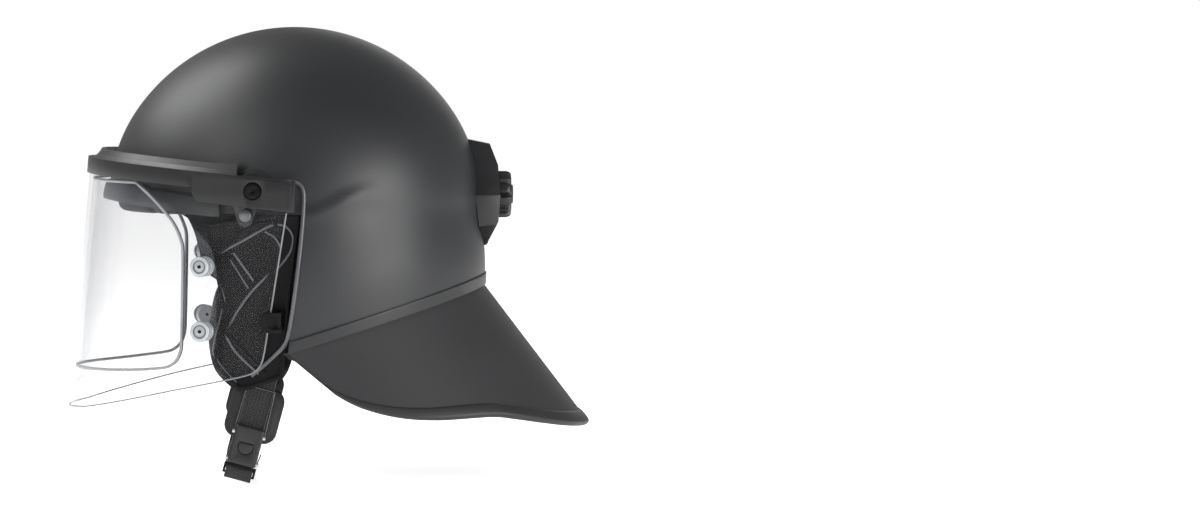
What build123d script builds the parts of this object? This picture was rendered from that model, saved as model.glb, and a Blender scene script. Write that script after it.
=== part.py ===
from build123d import *
import math
import os

# Riot helmet, in millimetres and degrees.
# The face looks along -Y, +Z is up and +X is the wearer's left.
# The origin lies on the head's centre line, at the height of the visor's pivot axis.

overrun = 260.0
running_gap = 0.08
seat_gap = 0.3

# Shell: a turned form of three arcs, a crown, a brow arc and walls that swell over the ears
dome_radius = 139.0
dome_height = 129.75
dome_centre_z = -12.0
dome_side_arc = 120.0
swell_radius = 142.2
swell_z = -42.0
barrel_radius = 140.3
barrel_z = -95.0
foot_radius = 129.5
foot_z = -160.0
head_centre_y = -4.1
shell_wall = 4.0

# Face opening and rim
brow_front_y = -145.0
brow_front_z = -8.0
temple_y = -68.0
temple_z = -17.5
ear_edge_y = 0.75
ear_edge_low_y = -9.0
ear_edge_low_z = -118.0
rim_rear_y = 138.0
rim_rear_z = -74.6
rim_slope = 17.2
trim_height = 12.0
trim_flare = 4.4
trim_lip = 2.0
trim_end_y = -60.0
rim_band_height = 8.5
rim_band_wall = 1.8

# Neck guard: an oblique cone below the rim
guard_wall = 3.0
guard_top_radius = 142.0
guard_top_half_width = 138.6
guard_low_radius = 152.8
guard_low_z = -185.0
guard_low_rear_y = 222.0
guard_tip_z = -178.3
guard_corner_y = 181.0
guard_corner_z = -172.0
guard_belly_y = 141.0
guard_belly_z = -166.0
guard_front_y = -11.8
guard_front_z = -122.5
guard_edge_shares = [(0.53, 1.0), (0.34, 0.82), (0.21, 0.54), (0.115, 0.26)]
guard_edge_height = 11.0
guard_edge_proud = 1.2

# Visor bar, tilted about the pivot axis
pivot_y = -35.25
bar_tilt = 5.1
bar_radius = 157.0
bar_wall = 8.0
bar_centre_y = -3.0
bar_top = 10.3
bar_height = 12.0
arm_height = 21.4
arm_front_y = -79.6
arm_rear_y = -4.6
arm_corner = 5.0
arm_end_rim = 1.4
arm_end_rim_width = 3.2
screw_tab_width = 20.0

# Brow apron between the bar and the dome
apron_shares = [(1.0, 0.0), (0.6, 0.2), (0.22, 0.52), (0.0, 1.0)]
apron_spread = 7.3
apron_rise = 15.0
apron_radius = 145.2
apron_wall = 3.0
apron_top = 7.0
apron_rear_y = -48.0
apron_horn = 6.0
apron_horn_length = 15.0

# Lens: circles that lean forwards and narrow below
lens_wall = 3.0
lens_levels = [30.0, -40.0, -90.0, -190.0]
lens_radii = [154.6, 153.0, 140.6, 127.0]
lens_centres = [-1.0, -9.4, -26.6, -49.8]
lens_top_front_z = 15.0
lens_top_arm_z = 8.0
lens_top_step_y = -64.0
lens_top_rear_z = -9.0
lens_rear_y = -10.6
lens_rear_low_y = -26.6
lens_rear_low_z = -119.0
lens_round_y = -46.0
lens_round_z = -136.5
lens_belly_y = -94.0
lens_belly_z = -148.0
lens_front_y = -160.0
lens_front_z = -163.6
lens_slot_gap = 0.15

# Anti-fog insert, its seal and its studs
insert_stand_off = 2.6
insert_wall = 1.2
insert_rear_y = -62.0
insert_margin = 7.0
insert_rise = 1.0
seal_rear_y = -86.5
seal_top_z = 4.5
seal_bottom_z = -142.0
seal_width = 4.0
seal_shares = [
    (0.55, 0.0), (0.34, 0.08), (0.13, 0.18), (0.025, 0.27), (0.0, 0.34), (0.02, 0.83), (0.17, 0.92),
]
seal_depth_y = 63.0
stud_diameter = 15.0
stud_head = 3.0
stud_nut = 2.4
stud_pin_diameter = 4.5
stud_pin_proud = 0.8
stud_y = -73.4
stud_upper_z = -56.0
stud_lower_z = -104.0
stud_lean = 22.5

# Visor pivots
screw_head_diameter = 12.5
screw_seat_x = 150.4
screw_head_x = 153.4
screw_socket = 3.5
screw_socket_depth = 2.0
screw_shank_diameter = 8.0
bush_wall = 1.5
hinge_boss_diameter = 26.0
hinge_boss_x = 144.2
hinge_plate_diameter = 32.0
hinge_plate_wall = 3.0
washer_diameter = 22.0
arm_face_x = 145.5
nut_diameter = 14.0
nut_thickness = 5.0
nut_face_x = 128.3

# Chrome screws low on the arms
lens_screw_y = -40.7
lens_screw_z = -18.0
lens_screw_diameter = 9.0
lens_screw_head = 2.4
lens_screw_shank = 4.0

# Catches clamped on the lens's rear edges
catch_y = -21.5
catch_z = -97.0
catch_length = 14.5
catch_height = 15.0
catch_proud = 3.2
catch_reach = 7.5
catch_prong = 2.6
catch_window = 7.5
catch_window_depth = 1.4

# Ear guards: moulded plates on a slowly narrowing cone
jaw_top_radius = 134.0
jaw_low_radius = 121.5
jaw_depth = 165.0
ear_wall = 2.5
ear_bead = 2.6
ear_bead_proud = 1.6
ear_length = 74.0
ear_height = 132.0
ear_top_z = -18.0
ear_shares = [
    (0.0, 0.0), (0.3, 0.0), (0.985, 0.065), (0.86, 0.303), (0.775, 0.535),
    (0.87, 0.834), (0.63, 0.983), (0.53, 0.983), (0.17, 0.911), (0.10, 0.392),
]
ear_window_shares = [(0.62, 0.226), (0.47, 0.104), (0.31, 0.120), (0.26, 0.226), (0.46, 0.397)]
ear_ridge_shares = [
    (0.83, 0.226), (0.48, 0.060), (0.28, 0.038), (0.17, 0.104),
    (0.20, 0.259), (0.74, 0.668), (0.36, 0.889),
]
ear_window_depth = 1.0
ear_flange_y = 20.0
ear_flange_top_z = -24.0
ear_flange_low_z = -98.0
ear_rivet_y = 15.5
ear_rivet_z = -34.0
ear_rivet_pitch = 50.0
ear_rivet_diameter = 7.0

# Cheek and jaw cushions
cushion_gap = 3.4
cheek_thickness = 20.0
cheek_length = 66.0
cheek_height = 86.0
cheek_rear_y = -3.0
cheek_top_z = -68.0
cheek_shares = [
    (0.25, 0.0), (0.80, 0.03), (0.95, 0.22), (1.0, 0.52), (0.90, 0.82),
    (0.62, 1.0), (0.40, 1.0), (0.12, 0.82), (0.0, 0.55),
]

# Cushions inside the shell
brow_pad_thickness = 14.0
brow_pad_height = 22.0
brow_pad_low_z = -20.0
brow_pad_angle = 124.0
brow_pad_round = 5.0
crown_pad_thickness = 11.0
crown_pad_radius = 58.0
crown_groove = 3.0

# Impact liner
liner_gap = 0.6
liner_thickness = 22.0
liner_front_z = 4.0
liner_ear_y = 34.0
liner_ear_z = 8.0
liner_rear_z = -60.0

# Headband and size adjuster
headband_half_width = 84.0
headband_half_length = 96.0
headband_wall = 1.6
headband_height = 26.0
headband_centre_y = -6.0
headband_z = -7.5
headband_cut_x = 39.0
case_length = 84.0
case_height = 28.0
case_depth = 10.0
case_wall = 1.8
case_y = 87.8
rack_length = 44.0
rack_offset = 6.0
rack_height = 5.0
rack_thickness = 4.0
gear_module = 1.0
gear_teeth = 12
gear_pressure = 25.0
gear_backlash = 0.12
gear_addendum = 0.9
gear_dedendum = 1.15
shaft_diameter = 6.0
hanger_width = 14.0
hanger_top_z = 35.0
hanger_top_radius = 99.4
band_ear_width = 6.0
band_ear_depth = 12.0

# Dial housing and knob
housing_height = 83.25
housing_top_z = 34.5
housing_half_width = 33.5
housing_face_y = 149.5
housing_root_y = 122.0
housing_taper = 0.86
housing_shares = [(0.26, 0.0), (0.40, 0.06), (1.0, 0.505), (0.985, 0.80), (0.27, 1.0)]
housing_top_y = 140.5
housing_crease_y = 148.0
housing_crease_z = 15.0
housing_low_crease_z = -27.0
housing_low_y = 138.0
knob_z = -7.5
knob_diameter = 35.0
knob_base_y = 145.4
knob_depth = 12.8
knob_lobes = 10
knob_notch = 3.4
knob_recess_diameter = 40.0
knob_recess_y = 144.6
knob_chamfer = 1.2
knob_cap_diameter = 20.0
knob_cap_height = 1.4
knob_ring = 1.8
housing_screw_diameter = 7.0
housing_screw_head = 2.5
housing_screw_shank = 3.5
housing_screw_pocket = 10.0
housing_screw_upper_z = 24.0
housing_screw_lower_z = -41.0
housing_screw_upper_y = 141.0
housing_screw_lower_y = 138.6
housing_screw_upper_end_y = 126.2
housing_screw_lower_end_y = 134.0

# Chin strap and buckle, drawn in a plane that leans forwards
strap_lean = 15.0
strap_origin_y = 10.3
strap_width = 20.0
strap_wall = 1.8
strap_top_x = 126.4
strap_top_drop = 36.0
strap_low_x = 113.6
strap_low_drop = 155.0
strap_turn_drop = 217.0
strap_sag = 1.5
strap_turn_radius = 9.0
strap_bend_radius = 60.0
strap_channel_depth = 12.0
buckle_x = 116.0
buckle_top_drop = 181.0
buckle_length = 29.0
buckle_width = 22.0
buckle_wall = 9.0
buckle_round = 2.0
button_diameter = 11.0
button_thickness = 3.0
button_flat = 3.0
button_proud = 0.8
button_travel = 1.5
button_drop = 196.0
tongue_width = 13.0
tongue_wall = 1.6
tongue_insert = 9.0
tongue_gap = 0.4
tongue_bar_length = 8.0
tongue_bar_width = 24.0
tongue_slot = 3.2
buckle_bar_diameter = 3.0
buckle_bar_length = 25.0
buckle_bar_shares = [0.20, 0.90]
anchor_head = 1.4
flap_wall = 6.0
flap_width = 40.0
flap_top_drop = 150.0
flap_length = 42.0
flap_round = 9.0
flap_soft_round = 2.0


def side_prism(points, both=True):
    """Solid across the helmet whose outline is seen from the left side."""
    outline = Plane.YZ * make_face(Polyline(*points, close=True))
    return extrude(outline, amount=overrun, both=both)


def placed(shares, start, size):
    """Points from shares of a length forwards and of a height downwards."""
    return [(start[0] - size[0] * y, start[1] - size[1] * z) for y, z in shares]


def mirrored(solid, side):
    """The left piece, or its mirror image for the right."""
    return solid if side > 0 else mirror(solid, about=Plane.YZ)


def save(solids, name):
    """Write one node from a solid or a group of them."""
    if isinstance(solids, (list, tuple)):
        solids = Compound(children=[piece for group in solids for piece in group.solids()])
    solids.label = name
    export_step(solids, f"parts/{name}.step")


def turned(points, centre_y):
    """Ring turned about the head's upright axis from a closed outline of radius and height."""
    face = Plane.XZ * make_face(Polyline(*points, close=True))
    return Pos(0, centre_y, 0) * revolve(face, Axis.Z)


def across(x_start, x_end, diameter, y, z):
    """Round bar along X."""
    bar = Cylinder(diameter / 2, abs(x_end - x_start))
    return Pos((x_start + x_end) / 2, y, z) * Rot(Y=90) * bar


def along(y_start, y_end, diameter, z):
    """Round bar along Y on the centre plane."""
    bar = Cylinder(diameter / 2, abs(y_end - y_start))
    return Pos(0, (y_start + y_end) / 2, z) * Rot(X=90) * bar


def helmet_curves(gap):
    """Lines of the helmet's half section from crown to foot, grown by a gap, with their end points."""
    offset_x = dome_radius - dome_side_arc
    top_arc = (dome_height ** 2 + offset_x ** 2 - dome_side_arc ** 2) / (2 * (dome_height - dome_side_arc))
    top_centre_z = dome_centre_z + dome_height - top_arc
    turn = math.degrees(math.atan2(dome_centre_z - top_centre_z, offset_x))
    crown = CenterArc((0, top_centre_z), top_arc + gap, turn, 90 - turn)
    brow = CenterArc((offset_x, dome_centre_z), dome_side_arc + gap, 0, turn)
    cone = Line((dome_radius + gap, dome_centre_z), (swell_radius + gap, swell_z))
    foot = (foot_radius + gap, foot_z)
    wall = ThreePointArc((swell_radius + gap, swell_z), (barrel_radius + gap, barrel_z), foot)
    return [crown, brow, cone, wall], (0, dome_centre_z + dome_height + gap), foot


def helmet_form(gap):
    """Outside of the helmet as a solid, grown by a gap."""
    curves, top, foot = helmet_curves(gap)
    face = Plane.XZ * make_face([Line(top, (0, foot[1])), Line((0, foot[1]), foot)] + curves)
    return Pos(0, head_centre_y, 0) * revolve(face, Axis.Z)


def helmet_layer(outer_gap, inner_gap):
    """Wall between two gaps from the helmet's outside."""
    curves, top, foot = helmet_curves(outer_gap)
    inner_curves, inner_top, inner_foot = helmet_curves(inner_gap)
    ends = [Line(top, inner_top), Line(inner_foot, foot)]
    face = Plane.XZ * make_face(curves + ends + inner_curves)
    return Pos(0, head_centre_y, 0) * revolve(face, Axis.Z)


def rim_z(y):
    """Height of the shell's tilted rim."""
    return rim_rear_z + (y - rim_rear_y) * math.tan(math.radians(rim_slope))


def face_opening(rise):
    """Everything in front of the ears and below the brow, with the brow line raised."""
    lean = (ear_edge_y - ear_edge_low_y) / (temple_z - ear_edge_low_z)
    low_z = temple_z - overrun
    return side_prism([
        (-overrun, brow_front_z + rise),
        (brow_front_y, brow_front_z + rise),
        (temple_y, temple_z + rise),
        (ear_edge_y, temple_z + rise),
        (ear_edge_y - lean * overrun, low_z),
        (-overrun, low_z),
    ])


def below_rim(rise):
    """Everything under the rim's plane, raised by a distance."""
    return side_prism([
        (-overrun, rim_z(-overrun) + rise),
        (overrun, rim_z(overrun) + rise),
        (overrun, rim_z(-overrun) - overrun),
        (-overrun, rim_z(-overrun) - overrun),
    ])


outside = helmet_form(0)
inside = helmet_form(-shell_wall)


def make_shell():
    """Moulded shell with its openings and holes."""
    shell = helmet_layer(0, -shell_wall) - face_opening(0) - below_rim(0)
    for side in (1, -1):
        shell -= across(side * dome_radius / 2, side * overrun, screw_shank_diameter, pivot_y, 0)
    shell -= along(dome_radius / 2, overrun, shaft_diameter + 2 * seat_gap, knob_z)
    for z in (housing_screw_upper_z, housing_screw_lower_z):
        shell -= along(dome_radius / 2, overrun, housing_screw_shank, z)
    return shell


def make_face_trim(shell):
    """Flared edge moulding round the brow and temples."""
    top_z = brow_front_z + trim_height
    low_z = temple_z - trim_lip
    inner = dome_radius - shell_wall - trim_lip
    ring = turned([
        (inner, top_z), (dome_radius + seat_gap, top_z),
        (dome_radius + trim_flare / 2, top_z - trim_lip),
        (dome_radius + trim_flare, brow_front_z + trim_lip),
        (dome_radius + trim_flare, low_z), (inner, low_z),
    ], head_centre_y)
    strip = side_prism([
        (-overrun, top_z), (brow_front_y, top_z), (temple_y, temple_z + trim_height),
        (trim_end_y, temple_z + trim_height), (trim_end_y, low_z), (temple_y, low_z),
        (brow_front_y, brow_front_z - trim_lip), (-overrun, brow_front_z - trim_lip),
    ])
    inner_top = side_prism([
        (-overrun, brow_front_z + trim_lip), (brow_front_y, brow_front_z + trim_lip),
        (temple_y, temple_z + trim_lip), (trim_end_y, temple_z + trim_lip),
        (trim_end_y, overrun), (-overrun, overrun),
    ])
    trim = (ring & strip) - shell
    return trim - (inside & inner_top)


def make_rim_band():
    """Band that clamps the neck guard to the rim, from ear to ear."""
    ring = helmet_layer(rim_band_wall, 0)
    strip = below_rim(rim_band_height) - below_rim(0)
    return (ring & strip) - face_opening(0)


def guard_form(gap):
    """Flared skirt as a solid from the tilted rim down, grown by a gap."""
    slope = math.radians(rim_slope)
    rim_plane = Plane(
        origin=(0, head_centre_y, rim_z(head_centre_y)), x_dir=(1, 0, 0),
        z_dir=(0, -math.sin(slope), math.cos(slope)),
    )
    top = rim_plane * Ellipse(guard_top_half_width + gap, (guard_top_radius + gap) / math.cos(slope))
    low_centre = guard_low_rear_y - guard_low_radius
    low = Pos(0, low_centre, guard_low_z) * Circle(guard_low_radius + gap)
    return loft([top, low], ruled=True)


def guard_outline(rise):
    """Side outline of the neck guard, with its lower edge raised."""
    rear_y = guard_low_rear_y + guard_edge_height
    start = (guard_front_y, guard_front_z)
    size = (guard_front_y - guard_belly_y, guard_front_z - guard_belly_z)
    points = [(rear_y, guard_tip_z + rise), (guard_corner_y, guard_corner_z + rise)]
    points.append((guard_belly_y, guard_belly_z + rise))
    for y, z in placed(guard_edge_shares, start, (size[0], size[1])):
        points.append((y, z + rise))
    points.append((guard_front_y, guard_front_z))
    points.append((guard_front_y, rim_z(guard_front_y) - seat_gap))
    points.append((rear_y, rim_z(rear_y) - seat_gap))
    return side_prism(points)


def make_neck_guard():
    """Neck guard and the folded edging on its lower edge."""
    skin = guard_form(0) - guard_form(-guard_wall)
    guard = skin & guard_outline(0)
    sleeve = guard_form(guard_edge_proud) - guard_form(-guard_wall - guard_edge_proud)
    strip = guard_outline(-guard_edge_proud) - guard_outline(guard_edge_height)
    edge = (sleeve & strip) - guard
    return guard, edge


shell = make_shell()
neck_guard, guard_edging = make_neck_guard()


def in_bar_frame(solid):
    """Turn a piece from level to the bar's tilt, about the pivot axis."""
    return Pos(0, pivot_y, 0) * Rot(X=-bar_tilt) * Pos(0, -pivot_y, 0) * solid


def lens_form(gap):
    """Solid behind the lens's outer face, grown by a gap."""
    sections = []
    for z, radius, centre in zip(lens_levels, lens_radii, lens_centres):
        sections.append(Pos(0, centre, z) * Circle(radius + gap))
    return loft(sections)


def lens_outline(grow):
    """Side outline of the lens, with its top edge raised."""
    return side_prism([
        (-overrun, lens_top_front_z + grow), (lens_front_y, lens_top_front_z + grow),
        (arm_front_y, lens_top_arm_z + grow), (lens_top_step_y, lens_top_arm_z + grow),
        (lens_top_step_y + arm_corner, lens_top_rear_z + grow),
        (lens_rear_y + grow, lens_top_rear_z + grow),
        (lens_rear_low_y, lens_rear_low_z), (lens_round_y + lens_wall * 3, lens_round_z + lens_wall),
        (lens_round_y, lens_round_z), (lens_belly_y, lens_belly_z),
        (lens_front_y, lens_front_z), (-overrun, lens_front_z * 1.06),
    ])


lens_outer = lens_form(0)
lens_inner = lens_form(-lens_wall)
insert_back = lens_form(-lens_wall - insert_stand_off)
insert_front = lens_form(-lens_wall - insert_stand_off - insert_wall)


def stud_bar(side, z, diameter):
    """Round bar square to the lens at one stud."""
    lean = side * -stud_lean
    reach = overrun / 2
    bar = Rot(Y=90) * Pos(0, 0, side * reach / 2) * Cylinder(diameter / 2, reach)
    hub_x = side * (lens_radii[1] * math.cos(math.radians(stud_lean)) - reach / 2)
    hub_y = stud_y + reach / 2 * math.sin(math.radians(stud_lean))
    return Pos(hub_x, hub_y, z) * Rot(Z=lean) * bar


def all_stud_bars(diameter):
    """Bars for the four studs."""
    bars = []
    for side in (1, -1):
        for z in (stud_upper_z, stud_lower_z):
            bars.append(stud_bar(side, z, diameter))
    return bars


def make_lens():
    """Clear lens with its holes for studs and screws."""
    lens = (lens_outer - lens_inner) & lens_outline(0)
    for bar in all_stud_bars(stud_pin_diameter):
        lens -= bar
    for side in (1, -1):
        lens -= across(side * dome_radius / 2, side * overrun, lens_screw_shank, lens_screw_y, lens_screw_z)
    return lens


def seal_points(grow):
    """Outline of the seal from the side, grown by a distance."""
    start = (seal_rear_y + grow, seal_top_z + grow)
    size = (seal_depth_y, seal_top_z - seal_bottom_z + 2 * grow)
    points = placed(seal_shares, start, size)
    points = [(-overrun, seal_top_z + grow)] + points
    points.append((-overrun, seal_bottom_z - grow))
    return points


def make_insert():
    """Thin inner sheet that keeps the lens from fogging."""
    corner_y = seal_rear_y - seal_shares[0][0] * seal_depth_y + 2 * insert_rise
    sheet = (insert_back - insert_front) & side_prism([
        (-overrun, seal_top_z + insert_rise),
        (corner_y, seal_top_z + insert_rise),
        (insert_rear_y, stud_upper_z + stud_diameter),
        (insert_rear_y, stud_lower_z - stud_diameter),
        (seal_rear_y, seal_bottom_z - insert_margin / 2),
        (-overrun, seal_bottom_z - insert_margin),
    ])
    for bar in all_stud_bars(stud_pin_diameter):
        sheet -= bar
    return sheet


def make_seal():
    """Soft frame between the lens and the insert."""
    outline = side_prism(seal_points(0)) - side_prism(seal_points(-seal_width))
    return (lens_inner - insert_back) & outline


def make_studs():
    """Heads outside, nuts inside, spacers between, and the dark pins through them."""
    bodies = []
    pins = []
    head = lens_form(stud_head) - lens_outer
    spacer = lens_inner - insert_back
    nut_form = lens_form(-lens_wall - insert_stand_off - insert_wall - stud_nut)
    nut = insert_front - nut_form
    pin = lens_form(stud_head + stud_pin_proud) - nut_form
    for bar, core in zip(all_stud_bars(stud_diameter), all_stud_bars(stud_pin_diameter)):
        ring = bar - core
        bodies += [ring & head, ring & nut, ring & spacer]
        pins.append(core & pin)
    return bodies, pins


def make_bar(lens_slot):
    """Visor bar with its two arms, lens groove and pivot seats."""
    ring = Pos(0, bar_centre_y, bar_top - arm_height / 2) * (
        Cylinder(bar_radius, arm_height) - Cylinder(bar_radius - bar_wall, arm_height)
    )
    low_z = bar_top - arm_height
    front_z = bar_top - bar_height
    profile = Plane.YZ * make_face(Polyline(
        (-overrun, bar_top), (arm_rear_y, bar_top), (arm_rear_y, low_z),
        (arm_front_y + arm_corner, low_z), (arm_front_y, low_z + arm_corner),
        (arm_front_y, front_z), (-overrun, front_z), close=True,
    ))
    bar = ring & extrude(profile, amount=overrun, both=True)
    rim_ring = Pos(0, bar_centre_y, bar_top - arm_height / 2) * (
        Cylinder(bar_radius + arm_end_rim, arm_height) - Cylinder(bar_radius - bar_wall, arm_height)
    )
    rim_box = Pos(0, arm_rear_y - arm_end_rim_width / 2, 0) * Box(2 * overrun, arm_end_rim_width, overrun)
    bar = in_bar_frame(bar + (rim_ring & rim_box))
    tab_low = lens_screw_z - lens_screw_diameter
    tab = side_prism([
        (lens_screw_y - screw_tab_width / 2, lens_top_rear_z),
        (lens_screw_y + screw_tab_width / 2, lens_top_rear_z),
        (lens_screw_y + lens_screw_diameter / 2, tab_low + lens_screw_diameter / 4),
        (lens_screw_y, tab_low),
        (lens_screw_y - lens_screw_diameter / 2, tab_low + lens_screw_diameter / 4),
    ])
    bar += (lens_inner - lens_form(-2 * lens_wall)) & tab
    bar -= lens_slot
    boss_room = hinge_boss_diameter + 4 * seat_gap
    head_room = screw_head_diameter + 2 * seat_gap
    bush_outer = screw_shank_diameter + 2 * running_gap + 2 * bush_wall
    for side in (1, -1):
        inner_x = side * dome_radius / 2
        bar -= across(inner_x, side * arm_face_x, boss_room, pivot_y, 0)
        bar -= across(side * screw_seat_x, side * overrun, head_room, pivot_y, 0)
        bar -= across(inner_x, side * overrun, bush_outer, pivot_y, 0)
        bar -= across(inner_x, side * overrun, lens_screw_shank, lens_screw_y, lens_screw_z)
    return bar


def make_apron():
    """Flared strip above the bar, wide enough to clear the dome as it swings."""
    low_z = bar_top
    outer = []
    inner = []
    for out, up in apron_shares:
        radius = apron_radius + apron_spread * out
        z = low_z + apron_rise * up
        outer.append((radius, z))
        inner.append((radius - apron_wall, z))
    inner[-1] = (inner[-1][0], outer[-1][1])
    ring = turned(outer + inner[::-1], bar_centre_y)
    horn_z = low_z + apron_top + apron_horn
    top = side_prism([
        (-overrun, low_z + apron_top), (apron_rear_y - apron_horn_length, low_z + apron_top),
        (apron_rear_y - seat_gap, horn_z), (apron_rear_y, horn_z), (apron_rear_y, low_z), (-overrun, low_z),
    ])
    return in_bar_frame(ring & top)


lens_slot = (lens_form(lens_slot_gap) - lens_form(-lens_wall - lens_slot_gap)) & lens_outline(seat_gap)
visor_bar = make_bar(lens_slot)
visor_lens = make_lens()


def make_pivot(side):
    """Screw, bush, washer, hinge base and nut of one pivot."""
    bush_inner = screw_shank_diameter + 2 * running_gap
    head_start = screw_seat_x + running_gap
    screw = across(side * (nut_face_x - nut_thickness), side * head_start, screw_shank_diameter, pivot_y, 0)
    screw += across(side * head_start, side * screw_head_x, screw_head_diameter, pivot_y, 0)
    socket_x = screw_head_x - screw_socket_depth
    socket = Pos(side * (socket_x + overrun / 2), pivot_y, 0) * Rot(Y=90) * extrude(
        RegularPolygon(screw_socket / 2, 6), amount=overrun / 2, both=True)
    screw -= socket
    bush = across(side * arm_face_x, side * screw_seat_x, bush_inner + 2 * bush_wall, pivot_y, 0)
    bush -= across(side * dome_radius / 2, side * overrun, bush_inner, pivot_y, 0)
    washer_start = side * (hinge_boss_x + running_gap)
    washer = across(washer_start, side * (arm_face_x - running_gap), washer_diameter, pivot_y, 0)
    washer -= across(side * dome_radius / 2, side * overrun, bush_inner, pivot_y, 0)
    disc = across(side * dome_radius / 2, side * overrun, hinge_plate_diameter, pivot_y, 0)
    plate = helmet_form(hinge_plate_wall) & disc
    base = plate + across(side * dome_radius / 2, side * hinge_boss_x, hinge_boss_diameter, pivot_y, 0)
    base = base - outside
    base -= across(side * dome_radius / 2, side * overrun, screw_shank_diameter, pivot_y, 0)
    nut = across(side * (nut_face_x - nut_thickness), side * nut_face_x, nut_diameter, pivot_y, 0)
    nut -= across(side * dome_radius / 2, side * overrun, screw_shank_diameter, pivot_y, 0)
    return screw, bush, washer, base, nut


def make_lens_screw(side):
    """Chrome screw through the lens into the arm's tab."""
    head = across(side * dome_radius / 2, side * overrun, lens_screw_diameter, lens_screw_y, lens_screw_z)
    head = head & (lens_form(lens_screw_head) - lens_outer)
    shank = across(side * dome_radius / 2, side * overrun, lens_screw_shank, lens_screw_y, lens_screw_z)
    shank = shank & (lens_form(seat_gap) - lens_form(-2 * lens_wall))
    return head + shank


def make_catch():
    """Left catch, clamped on the lens's rear edge, with two prongs and a window."""
    rear_y = catch_y + catch_length / 2
    low_z = catch_z - catch_height / 2
    high_z = catch_z + catch_height / 2
    front_y = rear_y - catch_length
    corner = catch_length / 4
    outline = [
        (rear_y, low_z), (rear_y, high_z), (front_y + corner, high_z), (front_y, high_z - corner),
        (front_y, low_z + corner), (front_y + corner, low_z),
    ]
    block = (lens_form(catch_proud) - lens_form(-lens_wall - catch_proud)) & side_prism(outline, both=False)
    for start in (low_z, high_z - catch_prong):
        strip = side_prism([
            (rear_y, start), (rear_y, start + catch_prong),
            (catch_y, start + catch_prong), (catch_y, start),
        ], both=False)
        block += (lens_form(catch_reach) - lens_outer) & strip
    half = catch_window / 2
    window = side_prism([
        (catch_y - half, catch_z - half), (catch_y + half, catch_z - half),
        (catch_y + half, catch_z + half), (catch_y - half, catch_z + half),
    ], both=False)
    block -= window - lens_form(catch_proud - catch_window_depth)
    return block - visor_lens


def jaw_form(gap):
    """Solid inside the ear guards' cone, grown by a gap."""
    return turned([
        (0, 0), (jaw_top_radius + gap, 0), (jaw_low_radius + gap, -jaw_depth), (0, -jaw_depth),
    ], head_centre_y)


def make_ear_guard():
    """Left ear guard: plate, edge bead, relief ridge, window recess and hidden flange."""
    start = (0, ear_top_z)
    size = (ear_length, ear_height)
    outline = make_face(Polyline(*placed(ear_shares, start, size), close=True))
    inner_outline = offset(outline, -ear_bead)
    plate = extrude(Plane.YZ * outline, amount=overrun) & (jaw_form(0) - jaw_form(-ear_wall))
    bead = extrude(Plane.YZ * (outline - inner_outline), amount=overrun)
    ridge_path = Polyline(*placed(ear_ridge_shares, start, size))
    ridge_sketch = trace(ridge_path, line_width=ear_bead)
    ridge = extrude(Plane.YZ * ridge_sketch, amount=overrun) & extrude(Plane.YZ * outline, amount=overrun)
    proud = jaw_form(ear_bead_proud) - jaw_form(-ear_wall)
    guard = plate + (bead & proud) + (ridge & proud)
    window_face = make_face(Polyline(*placed(ear_window_shares, start, size), close=True))
    window = extrude(Plane.YZ * window_face, amount=overrun)
    guard -= window - jaw_form(-ear_window_depth)
    flange = side_prism([
        (-ear_bead, ear_flange_top_z), (ear_flange_y, ear_flange_top_z),
        (ear_flange_y, ear_flange_low_z), (-ear_bead * 4, ear_flange_low_z),
    ], both=False)
    guard += flange & (jaw_form(0) - jaw_form(-ear_wall))
    for row in (0, 1):
        z = ear_rivet_z - row * ear_rivet_pitch
        guard -= across(dome_radius / 2, overrun, ear_rivet_diameter / 2, ear_rivet_y, z)
    return guard


def make_ear_rivets():
    """Rivets with spacers that hold the ear guards to the shell."""
    rivets = []
    for side in (1, -1):
        for row in (0, 1):
            z = ear_rivet_z - row * ear_rivet_pitch
            spacer = across(side * dome_radius / 2, side * overrun, ear_rivet_diameter, ear_rivet_y, z)
            shank = across(side * dome_radius / 2, side * overrun, ear_rivet_diameter / 2, ear_rivet_y, z)
            head = spacer & (jaw_form(-ear_wall) - jaw_form(-ear_wall - anchor_head))
            body = shank & (inside - jaw_form(-ear_wall))
            rivets.append((spacer & (inside - jaw_form(0))) + head + body)
    return rivets


def leaning(solid):
    """From the strap's own plane (across, up, forwards) to its place on the helmet."""
    plane = Plane(
        origin=(0, strap_origin_y, 0), x_dir=(1, 0, 0),
        z_dir=(0, -math.cos(math.radians(strap_lean)), math.sin(math.radians(strap_lean))),
    )
    return plane * solid


def strap_run(points, radii):
    """Webbing along a path in the strap's plane."""
    path = FilletPolyline(*points, radius=radii)
    return extrude(trace(path, line_width=strap_wall), amount=strap_width / 2, both=True)


def strap_channel():
    """Room for the short strap in the cheek cushion, open to the outside."""
    shift = strap_channel_depth / 2 - strap_wall / 2 - seat_gap
    path = FilletPolyline(
        (strap_top_x + shift, -strap_top_drop), (strap_low_x + shift, -strap_low_drop),
        (strap_low_x + shift, -buckle_top_drop), radius=strap_bend_radius)
    sketch = trace(path, line_width=strap_channel_depth)
    return leaning(extrude(sketch, amount=strap_width / 2 + seat_gap, both=True))


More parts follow.
